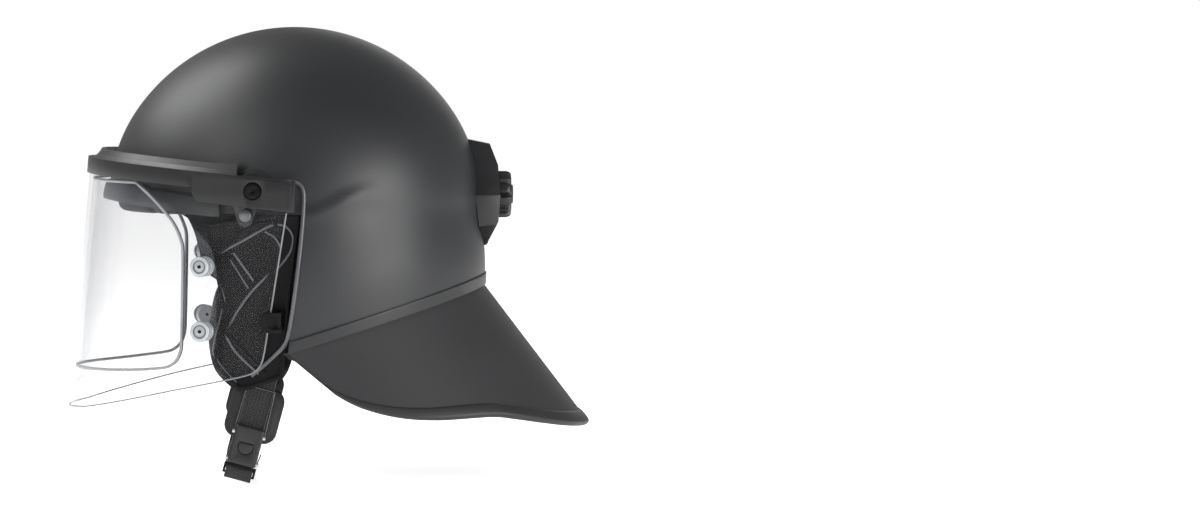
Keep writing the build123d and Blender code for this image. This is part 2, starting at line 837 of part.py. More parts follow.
def make_straps():
    """Short strap down to the buckle, and long strap under the chin to the right."""
    bend = strap_bend_radius
    strap_end = buckle_top_drop + buckle_wall / 3
    lower_x = strap_low_x
    short = strap_run([
        (strap_top_x, -strap_top_drop), (strap_low_x, -strap_low_drop), (lower_x, -strap_end),
    ], bend)
    long = strap_run([
        (lower_x - tongue_wall / 2 - seat_gap, -strap_turn_drop + strap_sag),
        (0, -strap_turn_drop - strap_sag),
        (-lower_x, -strap_turn_drop + strap_sag),
        (-strap_low_x, -strap_low_drop),
        (-strap_top_x, -strap_top_drop),
    ], [bend, strap_turn_radius, bend])
    return leaning(short), leaning(long)


def buckle_box(thickness, length, width):
    """Rounded block in the strap's plane."""
    block = Box(thickness, length, width)
    return fillet(block.edges(), buckle_round)


def make_buckle():
    """Buckle base, its steel bars, the release button and the tongue."""
    middle = -buckle_top_drop - buckle_length / 2
    base = Pos(buckle_x, middle, 0) * buckle_box(buckle_wall, buckle_length, buckle_width)
    slot_depth = buckle_wall / 3 + seat_gap
    slot = Pos(strap_low_x, -buckle_top_drop - slot_depth / 2, 0) * Box(
        strap_wall + 2 * seat_gap, slot_depth, strap_width + 2 * seat_gap)
    base -= slot
    mouth_depth = tongue_insert + tongue_gap
    mouth = Pos(strap_low_x, -buckle_top_drop - buckle_length + mouth_depth / 2, 0) * Box(
        tongue_wall + 2 * tongue_gap, mouth_depth, tongue_width + 2 * tongue_gap)
    base -= mouth
    face_x = buckle_x + buckle_wall / 2
    pocket_depth = button_thickness + button_travel + seat_gap - button_proud
    round_pocket = Cylinder(button_diameter / 2 + tongue_gap, pocket_depth)
    flat_cut = Pos(0, button_diameter / 2 + tongue_gap - button_flat / 2, 0) * Box(
        overrun, button_flat, pocket_depth)
    pocket = Pos(face_x - pocket_depth / 2, -button_drop, 0) * Rot(Y=90) * (round_pocket - flat_cut)
    base -= pocket
    round_button = Cylinder(button_diameter / 2, button_thickness)
    flat_button = Pos(0, button_diameter / 2 - button_flat / 2 + tongue_gap, 0) * Box(
        overrun, button_flat + 2 * tongue_gap, button_thickness)
    button_x = face_x + button_proud - button_thickness / 2
    button = Pos(button_x, -button_drop, 0) * Rot(Y=90) * (round_button - flat_button)
    tongue_top = -buckle_top_drop - buckle_length + tongue_insert
    blade_length = tongue_insert + tongue_gap + tongue_bar_length / 4
    blade_place = Pos(strap_low_x, tongue_top - blade_length / 2, 0)
    blade = blade_place * Box(tongue_wall, blade_length, tongue_width)
    bar_top_edge = -buckle_top_drop - buckle_length - tongue_gap
    plate = Pos(strap_low_x, bar_top_edge - tongue_bar_length / 2, 0) * Box(
        tongue_wall, tongue_bar_length, tongue_bar_width)
    tongue = blade + plate
    slot_z = Pos(strap_low_x, bar_top_edge - tongue_bar_length + tongue_slot, 0)
    tongue -= slot_z * Box(overrun, tongue_slot, strap_width + 2 * seat_gap)
    bars = []
    for share in buckle_bar_shares:
        bar_place = Pos(buckle_x + buckle_wall / 4, -buckle_top_drop - buckle_length * share, 0)
        bar = bar_place * Cylinder(buckle_bar_diameter / 2, buckle_bar_length)
        bars.append(leaning(bar))
        base -= bar_place * Cylinder(buckle_bar_diameter / 2, overrun)
    return leaning(base), bars, leaning(button), leaning(tongue)


def flap_block(grow):
    """Jaw flap's outline as a block in the strap's plane, grown by a gap."""
    face_x = buckle_x - buckle_wall / 2 - seat_gap - flap_wall / 2
    middle = -flap_top_drop - flap_length / 2
    outline = RectangleRounded(flap_length + 2 * grow, flap_width + 2 * grow, flap_round)
    block = extrude(outline, amount=flap_wall / 2 + grow, both=True)
    return Pos(face_x, middle, 0) * Rot(Y=90) * Rot(Z=90) * block


def make_flap():
    """Left jaw flap: a soft pad between the buckle and the jaw."""
    block = flap_block(0)
    return leaning(fillet(block.edges(), flap_soft_round))


def make_cheek_pad():
    """Left cheek cushion: crowned, with rounded edges, behind the ear guard."""
    outer = -ear_wall - cushion_gap
    start = (cheek_rear_y, cheek_top_z)
    points = placed(cheek_shares, start, (cheek_length, cheek_height))
    outline = make_face(Spline(points, periodic=True))
    layer = jaw_form(outer) - jaw_form(outer - cheek_thickness)
    pad = extrude(Plane.YZ * outline, amount=overrun) & layer
    return pad - leaning(flap_block(seat_gap)) - strap_channel()


def arc_cushion(radius, thickness, height, low_z, angle, middle_angle, corner, centre_y):
    """Cushion bent round the head: a rounded section turned through an angle."""
    section = Pos(radius + thickness / 2, low_z + height / 2) * RectangleRounded(thickness, height, corner)
    solid = revolve(Plane.XZ * section, Axis.Z, angle)
    return Pos(0, centre_y, 0) * Rot(Z=middle_angle - angle / 2) * solid


def make_crown_pad():
    """Round crown cushion with a ring channel and a cross channel."""
    outer_gap = -shell_wall - liner_gap - liner_thickness - seat_gap
    inner_gap = outer_gap - crown_pad_thickness
    rod = Pos(0, head_centre_y, overrun / 2) * Cylinder(crown_pad_radius, overrun)
    pad = helmet_layer(outer_gap, inner_gap) & rod
    ring_radius = crown_pad_radius / 2
    ring = Cylinder(ring_radius + crown_groove / 2, overrun)
    ring -= Cylinder(ring_radius - crown_groove / 2, overrun)
    channels = Pos(0, head_centre_y, overrun / 2) * ring
    for angle in (45, 135, 225, 315):
        reach = ring_radius + crown_pad_radius / 2
        bar = Pos(reach, 0, overrun / 2) * Box(crown_pad_radius, crown_groove, overrun)
        channels += Pos(0, head_centre_y, 0) * Rot(Z=angle) * bar
    return pad - (channels & helmet_form(inner_gap + crown_groove))


def make_liner():
    """Impact liner with pockets for the pivots and openings for the face and ears."""
    outer_gap = -shell_wall - liner_gap
    liner = helmet_layer(outer_gap, outer_gap - liner_thickness)
    low_z = dome_centre_z - overrun
    liner -= side_prism([
        (-overrun, liner_front_z), (temple_y, liner_ear_z), (liner_ear_y, liner_ear_z),
        (liner_ear_y * 1.6, liner_rear_z), (overrun, liner_rear_z), (overrun, low_z), (-overrun, low_z),
    ])
    for side in (1, -1):
        liner -= across(side * dome_radius / 2, side * overrun, nut_diameter * 1.4, pivot_y, 0)
    liner -= along(dome_radius / 2, overrun, shaft_diameter * 2, knob_z)
    return liner


def involute_point(base_radius, roll):
    """One point of an involute from its base circle."""
    x = base_radius * (math.cos(roll) + roll * math.sin(roll))
    y = base_radius * (math.sin(roll) - roll * math.cos(roll))
    return math.hypot(x, y), math.atan2(y, x)


def gear_outline():
    """Pinion outline with involute flanks."""
    pitch_radius = gear_module * gear_teeth / 2
    base_radius = pitch_radius * math.cos(math.radians(gear_pressure))
    tip_radius = pitch_radius + gear_addendum
    root_radius = pitch_radius - gear_dedendum
    pitch_roll = math.tan(math.radians(gear_pressure))
    pitch_angle = involute_point(base_radius, pitch_roll)[1]
    half_tooth = (math.pi * gear_module / 2 - gear_backlash) / 2 / pitch_radius
    tip_roll = math.sqrt((tip_radius / base_radius) ** 2 - 1)
    points = []
    for tooth in range(gear_teeth):
        middle = 2 * math.pi * (tooth + 0.5) / gear_teeth
        flank = []
        for share in (0.0, 0.35, 0.7, 1.0):
            radius, angle = involute_point(base_radius, tip_roll * share)
            flank.append((radius, half_tooth + pitch_angle - angle))
        base_half = flank[0][1]
        profile = [(root_radius, -base_half)] + [(radius, -half) for radius, half in flank]
        profile += [(radius, half) for radius, half in reversed(flank)] + [(root_radius, base_half)]
        for radius, half in profile:
            points.append((radius * math.cos(middle + half), radius * math.sin(middle + half)))
    return make_face(Polyline(*points, close=True))


def rack_outline():
    """Toothed strip that lies above the pinion, teeth down, with a tooth at the origin."""
    pitch_radius = gear_module * gear_teeth / 2
    pitch = math.pi * gear_module
    slope = math.tan(math.radians(gear_pressure))
    half_pitch_line = (pitch / 2 - gear_backlash) / 2
    tip_half = half_pitch_line - gear_addendum * slope
    root_half = half_pitch_line + gear_dedendum * slope
    start = rack_offset - rack_length / 2
    end = rack_offset + rack_length / 2
    first = math.ceil((start + root_half) / pitch)
    last = math.floor((end - root_half) / pitch)
    root_z = pitch_radius + gear_dedendum
    tip_z = pitch_radius - gear_addendum
    points = [(start, root_z + rack_height - gear_dedendum), (start, root_z)]
    for tooth in range(first, last + 1):
        x = tooth * pitch
        points += [(x - root_half, root_z), (x - tip_half, tip_z)]
        points += [(x + tip_half, tip_z), (x + root_half, root_z)]
    points += [(end, root_z), (end, root_z + rack_height - gear_dedendum)]
    return make_face(Polyline(*points, close=True))


def upright(sketch, y_start, y_end):
    """Raise a sketch of X and Z, seen from the front, between two places along Y."""
    solid = extrude(sketch, amount=(y_end - y_start))
    return Pos(0, y_end, knob_z) * Rot(X=90) * solid


def make_adjuster(headband):
    """Case with its cover, the racks and the pinion with the dial's shaft."""
    front_y = case_y
    back_y = case_y + case_depth
    case = Pos(0, (front_y + back_y) / 2, knob_z) * Box(case_length, case_depth, case_height)
    room_height = gear_module * gear_teeth + 2 * rack_height + 2 * seat_gap
    room_depth = rack_thickness + 2 * seat_gap
    room_y = back_y - case_wall - room_depth / 2
    case -= Pos(0, room_y, knob_z) * Box(2 * case_length, room_depth, room_height)
    cover_split = room_y - room_depth / 2
    cover_block = Pos(0, (front_y + cover_split) / 2, knob_z) * Box(
        case_length, cover_split - front_y, case_height)
    cover = case & cover_block
    case = case - cover_block
    for side in (1, -1):
        ear_x = side * (case_length - band_ear_width) / 2
        ear_place = Pos(ear_x, front_y - band_ear_depth / 2, knob_z)
        cover += ear_place * Box(band_ear_width, band_ear_depth, case_height) - headband
    case -= along(room_y, back_y + case_wall, shaft_diameter + 2 * running_gap, knob_z)
    cover -= along(front_y - case_wall, room_y, shaft_diameter + 2 * running_gap, knob_z)
    gear_start = room_y - rack_thickness / 2
    gear_end = room_y + rack_thickness / 2
    pinion = upright(gear_outline(), gear_start, gear_end)
    pinion += along(front_y + seat_gap, knob_base_y, shaft_diameter, knob_z)
    left_rack = upright(rack_outline(), gear_start, gear_end)
    right_rack = Pos(0, 0, knob_z) * Rot(Y=180) * Pos(0, 0, -knob_z) * left_rack
    return case, cover, pinion, left_rack, right_rack


def make_headband():
    """Ring round the head, open at the back, with six straps up to the liner."""
    outer = Ellipse(headband_half_width, headband_half_length)
    inner = Ellipse(headband_half_width - headband_wall, headband_half_length - headband_wall)
    band = extrude(outer - inner, amount=headband_height / 2, both=True)
    band = Pos(0, headband_centre_y, headband_z) * band
    band -= Pos(0, case_y, headband_z) * Box(2 * headband_cut_x, overrun / 2, 2 * headband_height)
    cones = []
    for gap in (0, -headband_wall):
        foot = Pos(0, headband_centre_y, headband_z + headband_height / 2) * Ellipse(
            headband_half_width + gap, headband_half_length + gap)
        head = Pos(0, head_centre_y, hanger_top_z) * Circle(hanger_top_radius + gap)
        cones.append(loft([foot, head], ruled=True))
    cone = cones[0] - cones[1]
    for angle in (0, 55, -55):
        band += cone & (Rot(Z=angle) * Box(2 * overrun, hanger_width, overrun))
    return band


def housing_face(scale_share):
    """Outline of the dial housing from the back, drawn in by a share."""
    middle_z = housing_top_z - housing_height / 2
    points = []
    for x, down in housing_shares:
        z = middle_z + (housing_height / 2 - housing_height * down) * scale_share
        points.append((housing_half_width * x * scale_share, z))
    points += [(-x, z) for x, z in reversed(points)]
    return make_face(Polyline(*points, close=True))


def make_housing():
    """Moulded shield that carries the dial, with creases, a knob recess and screw pockets."""
    base = Pos(0, housing_root_y, 0) * Rot(X=90) * housing_face(1.0)
    face = Pos(0, housing_face_y + knob_chamfer, 0) * Rot(X=90) * housing_face(housing_taper)
    body = loft([base, face], ruled=True)
    low_z = housing_top_z - housing_height
    body &= side_prism([
        (housing_root_y, housing_top_z), (housing_top_y, housing_top_z),
        (housing_crease_y, housing_crease_z), (housing_face_y, knob_z),
        (housing_crease_y, housing_low_crease_z), (housing_low_y, low_z), (housing_root_y, low_z),
    ])
    body -= outside
    body -= along(knob_recess_y, overrun, knob_recess_diameter, knob_z)
    body -= along(housing_root_y, overrun, shaft_diameter + 2 * running_gap, knob_z)
    for z, y in (
        (housing_screw_upper_z, housing_screw_upper_y),
        (housing_screw_lower_z, housing_screw_lower_y),
    ):
        body -= along(y, overrun, housing_screw_pocket, z)
        body -= along(housing_root_y, overrun, housing_screw_shank, z)
    return body


def make_housing_screws():
    """Two screws from the housing into the shell."""
    screws = []
    for z, y, end in (
        (housing_screw_upper_z, housing_screw_upper_y, housing_screw_upper_end_y),
        (housing_screw_lower_z, housing_screw_lower_y, housing_screw_lower_end_y),
    ):
        head = along(y, y + housing_screw_head, housing_screw_diameter, z)
        screws.append(head + along(end, y, housing_screw_shank, z))
    return screws


def make_knob():
    """Lobed dial with its cap."""
    outline = Circle(knob_diameter / 2)
    for lobe in range(knob_lobes):
        angle = 360 / knob_lobes * lobe
        outline -= Rot(Z=angle) * Pos(knob_diameter / 2 + knob_notch / 3, 0) * Circle(knob_notch)
    knob = extrude(outline, amount=knob_depth)
    knob = chamfer(knob.faces().sort_by(Axis.Z)[-1].edges(), knob_chamfer)
    groove = Cylinder(knob_cap_diameter / 2, 2 * knob_cap_height) - Cylinder(
        knob_cap_diameter / 2 - knob_ring, 2 * knob_cap_height)
    knob -= Pos(0, 0, knob_depth) * groove
    cap = Pos(0, 0, knob_depth) * extrude(
        Circle(knob_cap_diameter / 2 - knob_ring * 1.5), amount=knob_cap_height)
    place = Pos(0, knob_base_y, knob_z) * Rot(X=-90)
    return place * knob, place * cap


os.makedirs("parts", exist_ok=True)
save(shell, "shell")
save(make_face_trim(shell), "face_opening_trim")
save(make_rim_band(), "rim_band")
save(neck_guard, "neck_guard")
save(guard_edging, "neck_guard_edging")
save(visor_bar, "visor_bar")
save(make_apron(), "brow_apron")
save(visor_lens, "visor_lens")
save(make_insert(), "antifog_insert")
save(make_seal(), "insert_seal")
stud_bodies, stud_pins = make_studs()
save(stud_bodies, "insert_studs")
save(stud_pins, "stud_pins")
pivots = [make_pivot(side) for side in (1, -1)]
save([pivot[0] for pivot in pivots], "pivot_screws")
save([pivot[1] for pivot in pivots], "pivot_bushes")
save([pivot[2] for pivot in pivots], "friction_washers")
save(pivots[0][3], "hinge_base_left")
save(pivots[1][3], "hinge_base_right")
save([pivot[4] for pivot in pivots], "pivot_nuts")
save([make_lens_screw(side) for side in (1, -1)], "lens_screws")
catch = make_catch()
ear_guard = make_ear_guard()
cheek_pad = make_cheek_pad()
flap = make_flap()
for side, word in ((1, "left"), (-1, "right")):
    save(mirrored(catch, side), f"visor_catch_{word}")
    save(mirrored(ear_guard, side), f"ear_guard_{word}")
    save(mirrored(cheek_pad, side), f"cheek_pad_{word}")
    save(mirrored(flap, side), f"jaw_flap_{word}")
save(make_ear_rivets(), "ear_guard_rivets")
short_strap, long_strap = make_straps()
save(short_strap, "buckle_strap")
save(long_strap, "chin_strap")
buckle, buckle_bars, button, tongue = make_buckle()
save(buckle, "buckle_base")
save(buckle_bars, "buckle_bars")
save(button, "release_button")
save(tongue, "buckle_tongue")
brow_radius = dome_radius - shell_wall - trim_lip - seat_gap - brow_pad_thickness
save(arc_cushion(brow_radius, brow_pad_thickness, brow_pad_height, brow_pad_low_z,
                 brow_pad_angle, -90, brow_pad_round, head_centre_y), "brow_pad")
save(make_crown_pad(), "crown_pad")
save(make_liner(), "impact_liner")
headband = make_headband()
save(headband, "headband")
case, cover, pinion, left_rack, right_rack = make_adjuster(headband)
save(case, "adjuster_case")
save(cover, "adjuster_cover")
save(pinion, "dial_shaft")
save(left_rack, "rack_left")
save(right_rack, "rack_right")
save(make_housing(), "dial_housing")
save(make_housing_screws(), "housing_screws")
knob, knob_cap = make_knob()
save(knob, "dial_knob")
save(knob_cap, "dial_cap")
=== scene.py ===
import math

import bpy
import numpy as np
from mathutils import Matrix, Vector


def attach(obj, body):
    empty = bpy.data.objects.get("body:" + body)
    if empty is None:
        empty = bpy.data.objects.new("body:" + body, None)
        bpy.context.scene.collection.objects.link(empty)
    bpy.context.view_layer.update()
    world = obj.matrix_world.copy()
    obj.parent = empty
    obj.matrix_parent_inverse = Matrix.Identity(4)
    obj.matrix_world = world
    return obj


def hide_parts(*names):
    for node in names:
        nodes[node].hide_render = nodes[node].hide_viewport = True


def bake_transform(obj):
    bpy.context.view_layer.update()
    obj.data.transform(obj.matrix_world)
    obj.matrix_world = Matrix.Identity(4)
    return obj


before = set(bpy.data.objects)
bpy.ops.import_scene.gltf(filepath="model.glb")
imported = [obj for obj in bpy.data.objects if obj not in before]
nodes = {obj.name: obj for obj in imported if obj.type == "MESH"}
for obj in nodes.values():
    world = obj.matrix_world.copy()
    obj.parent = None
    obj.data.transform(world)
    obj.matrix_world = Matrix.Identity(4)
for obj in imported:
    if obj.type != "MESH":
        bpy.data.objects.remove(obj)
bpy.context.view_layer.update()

# Shell: moulded composite under a matte dark grey paint, whose faint orange peel softens its highlights.
# A turned form with soft swellings behind the visor arms, cut open for the face and at the tilted rim.


def linear(code):
    """Linear colour from a hex code in sRGB."""
    parts = [int(code[i:i + 2], 16) / 255 for i in (0, 2, 4)]
    return [p / 12.92 if p <= 0.04045 else ((p + 0.055) / 1.055) ** 2.4 for p in parts] + [1.0]


def add(tree, kind, **inputs):
    """One shader node with its inputs: values are set, sockets are linked."""
    node = tree.nodes.new(kind)
    for key, value in inputs.items():
        by_place = key[0] == "i" and key[1:].isdigit()
        socket = node.inputs[int(key[1:]) if by_place else key.replace("_", " ")]
        if isinstance(value, bpy.types.NodeSocket):
            tree.links.new(value, socket)
        else:
            socket.default_value = value
    return node


def surface(name, dark, light, roughness, grain, height,
            metal=0.0, patch=35.0, spread=0.08, sheen=0.0, coat=0.0):
    """Material with a colour that drifts in soft patches, uneven gloss and a fine grain in relief."""
    material = bpy.data.materials.new(name)
    material.use_nodes = True
    tree = material.node_tree
    shader = tree.nodes["Principled BSDF"]
    place = add(tree, "ShaderNodeTexCoord").outputs["Object"]
    cloud = add(tree, "ShaderNodeTexNoise", Vector=place, Scale=patch, Detail=4.0, Roughness=0.55)
    colour = add(tree, "ShaderNodeMix", i0=cloud.outputs["Fac"], i6=linear(dark), i7=linear(light))
    colour.data_type = "RGBA"
    tree.links.new(colour.outputs[2], shader.inputs["Base Color"])
    gloss = add(tree, "ShaderNodeMapRange", Value=cloud.outputs["Fac"], From_Min=0.3, From_Max=0.7,
                To_Min=roughness - spread, To_Max=roughness + spread)
    tree.links.new(gloss.outputs["Result"], shader.inputs["Roughness"])
    fine = add(tree, "ShaderNodeTexNoise", Vector=place, Scale=grain, Detail=3.0)
    relief = add(tree, "ShaderNodeBump", Height=fine.outputs["Fac"], Strength=0.6, Distance=height)
    tree.links.new(relief.outputs["Normal"], shader.inputs["Normal"])
    for key, value in (("Metallic", metal), ("Sheen Weight", sheen), ("Coat Weight", coat)):
        shader.inputs[key].default_value = value
    return material


def step(value, low, high):
    """Smooth step from 0 to 1."""
    t = min(1.0, max(0.0, (value - low) / (high - low)))
    return t * t * (3 - 2 * t)


def grid_faces(rows, columns, wrap):
    """Quads of a grid of rows by columns, closed round its columns if asked."""
    faces = []
    for r in range(rows - 1):
        for c in range(columns if wrap else columns - 1):
            d = (c + 1) % columns
            faces.append((r * columns + c, r * columns + d, (r + 1) * columns + d, (r + 1) * columns + c))
    return faces


def only(piece):
    """Select one piece alone."""
    bpy.ops.object.select_all(action="DESELECT")
    piece.select_set(True)
    bpy.context.view_layer.objects.active = piece


def smooth(piece, angle):
    """Smooth shading, except over an angle in degrees."""
    only(piece)
    bpy.ops.object.shade_smooth_by_angle(angle=math.radians(angle))


def face_outwards(piece):
    """Turn a closed piece's faces outwards."""
    only(piece)
    bpy.ops.object.mode_set(mode="EDIT")
    bpy.ops.mesh.select_all(action="SELECT")
    bpy.ops.mesh.normals_make_consistent(inside=False)
    bpy.ops.object.mode_set(mode="OBJECT")


def dressed(piece, body, material, stands_for=(), angle=35.0):
    """Smooth shading, material, slot, body and the CAD nodes that a piece stands for."""
    face_outwards(piece)
    smooth(piece, angle)
    if not piece.data.materials:
        piece.data.materials.append(material)
    if body:
        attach(piece, body)
    if stands_for:
        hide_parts(*stands_for)
    return piece


def mesh_piece(name, points, faces, body, material, stands_for=(), angle=35.0, uvs=None):
    """Piece from points in millimetres, smooth except over an angle, riding on a body."""
    mesh = bpy.data.meshes.new(name)
    mesh.from_pydata([(x / 1000, y / 1000, z / 1000) for x, y, z in points], [], faces)
    mesh.update()
    if uvs is not None:
        layer = mesh.uv_layers.new(name="UVMap")
        for loop in mesh.loops:
            layer.data[loop.index].uv = uvs[loop.vertex_index]
    piece = bpy.data.objects.new(name, mesh)
    bpy.context.scene.collection.objects.link(piece)
    return dressed(piece, body, material, stands_for, angle)


def prism(points, half):
    """Solid across the helmet from a side outline of Y and Z, for cutting."""
    count = len(points)
    mesh = bpy.data.meshes.new("cutter")
    corners = [(s * half / 1000, y / 1000, z / 1000) for s in (-1, 1) for y, z in points]
    faces = [tuple(range(count)), tuple(range(2 * count - 1, count - 1, -1))]
    faces += [(i, (i + 1) % count, count + (i + 1) % count, count + i) for i in range(count)]
    mesh.from_pydata(corners, [], faces)
    cutter = bpy.data.objects.new("cutter", mesh)
    bpy.context.scene.collection.objects.link(cutter)
    face_outwards(cutter)
    return cutter


def carve(piece, cutter, operation):
    """Cut a piece by a cutter, or keep what they share."""
    cut = piece.modifiers.new("cut", "BOOLEAN")
    cut.object = cutter
    cut.operation = operation
    cut.solver = "EXACT"
    only(piece)
    bpy.ops.object.modifier_apply(modifier="cut")
    bpy.data.objects.remove(cutter)


def rounded_edges(piece, width, segments=2, angle=40.0):
    """Round a piece's sharp edges."""
    rounding = piece.modifiers.new("rounding", "BEVEL")
    rounding.width = width / 1000
    rounding.segments = segments
    rounding.limit_method = "ANGLE"
    rounding.angle_limit = math.radians(angle)
    only(piece)
    bpy.ops.object.modifier_apply(modifier="rounding")


paint = surface("matte_shell_paint", "1B1C1E", "212224", 0.45, 1400.0, 0.00006, patch=14.0, spread=0.03)
axis_y = -4.1
brow_z = -12.0
crown_rise = 129.75
shell_wall = 4.0
crown_radius, crown_centre_z, crown_join_z = 143.39, -25.64, 57.98
shoulder_radius, shoulder_offset = 120.0, 19.0
wall_levels = [(brow_z, 139.0), (-42.0, 141.9), (-95.0, 140.3), (-128.0, 136.1), (-160.0, 129.5)]
wall_table = [[z ** p for p in range(6)] for z, r in wall_levels]
wall_table.append([0] + [p * brow_z ** (p - 1) for p in range(1, 6)])
wall_fit = np.linalg.solve(np.array(wall_table), [r for z, r in wall_levels] + [0.0])


def helmet_radius(z, gap):
    """Radius of the helmet's turned form at a height, grown by a gap."""
    if z >= crown_join_z:
        return math.sqrt(max(0.0, (crown_radius + gap) ** 2 - (z - crown_centre_z) ** 2))
    if z >= brow_z:
        return shoulder_offset + math.sqrt((shoulder_radius + gap) ** 2 - (z - brow_z) ** 2)
    return float(sum(c * z ** p for p, c in enumerate(wall_fit))) + gap


levels = [brow_z + crown_rise * math.sin(math.radians(a)) for a in np.linspace(89.2, 0, 64)]
levels += list(np.linspace(-14.5, -158, 56))
columns = 288
swell_height = 2.3
points = []
for gap, heights in ((0.0, levels), (-shell_wall, levels[::-1])):
    for z in heights:
        lift = z if z < brow_z else brow_z + (z - brow_z) * (crown_rise + gap) / crown_rise
        radius = helmet_radius(lift, gap)
        for k in range(columns):
            a = 2 * math.pi * k / columns
            x, y = radius * math.cos(a), radius * math.sin(a) + axis_y
            crease = brow_z + 16 * step(y, 2, 50) + 2 * step(y, 40, 70)
            below = crease - lift
            fade = math.exp(-max(below - 7, 0) / 24) * (1 - step(y, 26, 66))
            swell = swell_height * step(below, -3, 7) * fade
            grow = swell * step(abs(x), 60, 110) * step(y, -60, -20)
            points.append(((radius + grow) * math.cos(a), (radius + grow) * math.sin(a) + axis_y, lift))
top = len(points)
points.append((0, axis_y, brow_z + crown_rise))
points.append((0, axis_y, brow_z + crown_rise - shell_wall))
inner = len(levels) * columns
rim_row = inner - columns
last_row = 2 * inner - columns
faces = grid_faces(len(levels), columns, True)
faces += [tuple(inner + i for i in face) for face in grid_faces(len(levels), columns, True)]
for k in range(columns):
    after = (k + 1) % columns
    faces += [(top, k, after), (top + 1, last_row + after, last_row + k)]
    faces.append((rim_row + k, rim_row + after, inner + after, inner + k))
shell = mesh_piece("shell_painted", points, faces, "helmet", paint, ["shell"])
cut_reach = 260
face_cut = [(-cut_reach, -8), (-145, -8), (-68, -17.5), (0.75, -17.5), (-22.9, -cut_reach),
            (-cut_reach, -cut_reach)]
rim_cut = [(-cut_reach, -197.8), (cut_reach, -36.8), (cut_reach, -300), (-cut_reach, -300)]
for outline in (face_cut, rim_cut):
    carve(shell, prism(outline, cut_reach), "DIFFERENCE")
rounded_edges(shell, 0.7)
smooth(shell, 30)

# Face opening trim and rim band: moulded black plastic, satin with a fine grain, over the shell's edges.
# The solids' own outlines, with rounded lips.


def edged(node, body, material, width, segments=2, angle=32.0):
    """A copy of a rigid CAD node with its edges rounded, standing for the node."""
    piece = bpy.data.objects.new(node + "_edged", nodes[node].data.copy())
    piece.data.materials.clear()
    bpy.context.scene.collection.objects.link(piece)
    only(piece)
    bpy.ops.object.mode_set(mode="EDIT")
    bpy.ops.mesh.select_all(action="SELECT")
    bpy.ops.mesh.remove_doubles(threshold=0.000005)
    bpy.ops.mesh.dissolve_limited(angle_limit=math.radians(0.04), delimit={"SHARP"})
    bpy.ops.object.mode_set(mode="OBJECT")
    rounded_edges(piece, width, segments, angle)
    return dressed(piece, body, material, [node])


moulded = surface("moulded_black_plastic", "151618", "1C1D1F", 0.44, 2600.0, 0.000035, patch=60.0,
                  spread=0.06)
edged("face_opening_trim", "helmet", moulded, 0.8)
edged("rim_band", "helmet", moulded, 0.5)

# Neck guard: a flexible moulded skirt with a matte grain, an oblique cone from the rim to its low rear edge.
# Rows run from the rim down to the lower edge that the side outline gives, on an outer and an inner skin.


def joined_skins(rows, columns):
    """Faces of an outer and an inner grid of points, joined along their four borders."""
    inner = rows * columns
    skin = grid_faces(rows, columns, False)
    faces = skin + [tuple(inner + i for i in face[::-1]) for face in skin]
    for c in range(columns - 1):
        for row in (0, (rows - 1) * columns):
            faces.append((row + c, row + c + 1, inner + row + c + 1, inner + row + c))
    for r in range(rows - 1):
        for c in (0, columns - 1):
            low, high = r * columns + c, (r + 1) * columns + c
            faces.append((low, high, inner + high, inner + low))
    return faces


def curve_points(points, count, closed=False):
    """Even points along a smooth curve through a few points."""
    keys = [Vector(p) for p in points]
    if closed:
        ring = [keys[-1]] + keys + keys[:2]
    else:
        ring = [keys[0] * 2 - keys[1]] + keys + [keys[-1] * 2 - keys[-2]]
    dense = []
    for i in range(1, len(ring) - 2):
        a, b, c, d = ring[i - 1:i + 3]
        for k in range(24):
            t = k / 24
            bend = (2 * a - 5 * b + 4 * c - d) * t * t + (3 * b - a - 3 * c + d) * t ** 3
            dense.append(0.5 * ((2 * b) + (c - a) * t + bend))
    dense.append(ring[-2] if not closed else ring[1])
    lengths = [0.0]
    for p, q in zip(dense, dense[1:]):
        lengths.append(lengths[-1] + (q - p).length)
    total = lengths[-1]
    targets = np.linspace(0, total, count + 1 if closed else count)
    table = np.array([list(p) for p in dense])
    out = [np.interp(targets, lengths, table[:, axis]) for axis in range(table.shape[1])]
    result = [Vector(p) for p in zip(*out)]
    return result[:-1] if closed else result


guard_skin = surface("grained_guard_plastic", "232325", "29292B", 0.58, 1900.0, 0.0001, patch=20.0,
                     spread=0.05)
rim_slope = math.tan(math.radians(17.2))
rim_middle_z = -74.6 + (axis_y - 138.0) * rim_slope
guard_wall = 3.0
guard_width, guard_depth = 138.6, 142.0
low_radius, low_centre_y, low_z = 152.8, 69.2, -185.0
guard_front_y = -11.8


def guard_point(turn, share, gap):
    """Point of the guard's cone: turn round the head, share from the rim to the low circle."""
    rim_y = axis_y + (guard_depth + gap) * math.sin(turn)
    rim_point = Vector(((guard_width + gap) * math.cos(turn), rim_y,
                        rim_middle_z + (rim_y - axis_y) * rim_slope))
    low_y = low_centre_y + (low_radius + gap) * math.sin(turn)
    return rim_point.lerp(Vector(((low_radius + gap) * math.cos(turn), low_y, low_z)), share)


low_edge = curve_points([(guard_front_y, -122.5), (-2, -126.5), (7, -134), (20, -146), (42, -158),
                         (70, -165.3), (100, -167.5), (141, -166), (160, -168.2), (181, -172), (205, -176.3),
                         (240, -181)], 200)
edge_y, edge_z = zip(*low_edge)


def guard_end(turn):
    """Share at which the guard's cone meets the lower edge."""
    low, high = 0.0, 1.05
    for _ in range(40):
        middle = (low + high) / 2
        p = guard_point(turn, middle, 0)
        if p.z > np.interp(p.y, edge_y, edge_z):
            low = middle
        else:
            high = middle
    return low


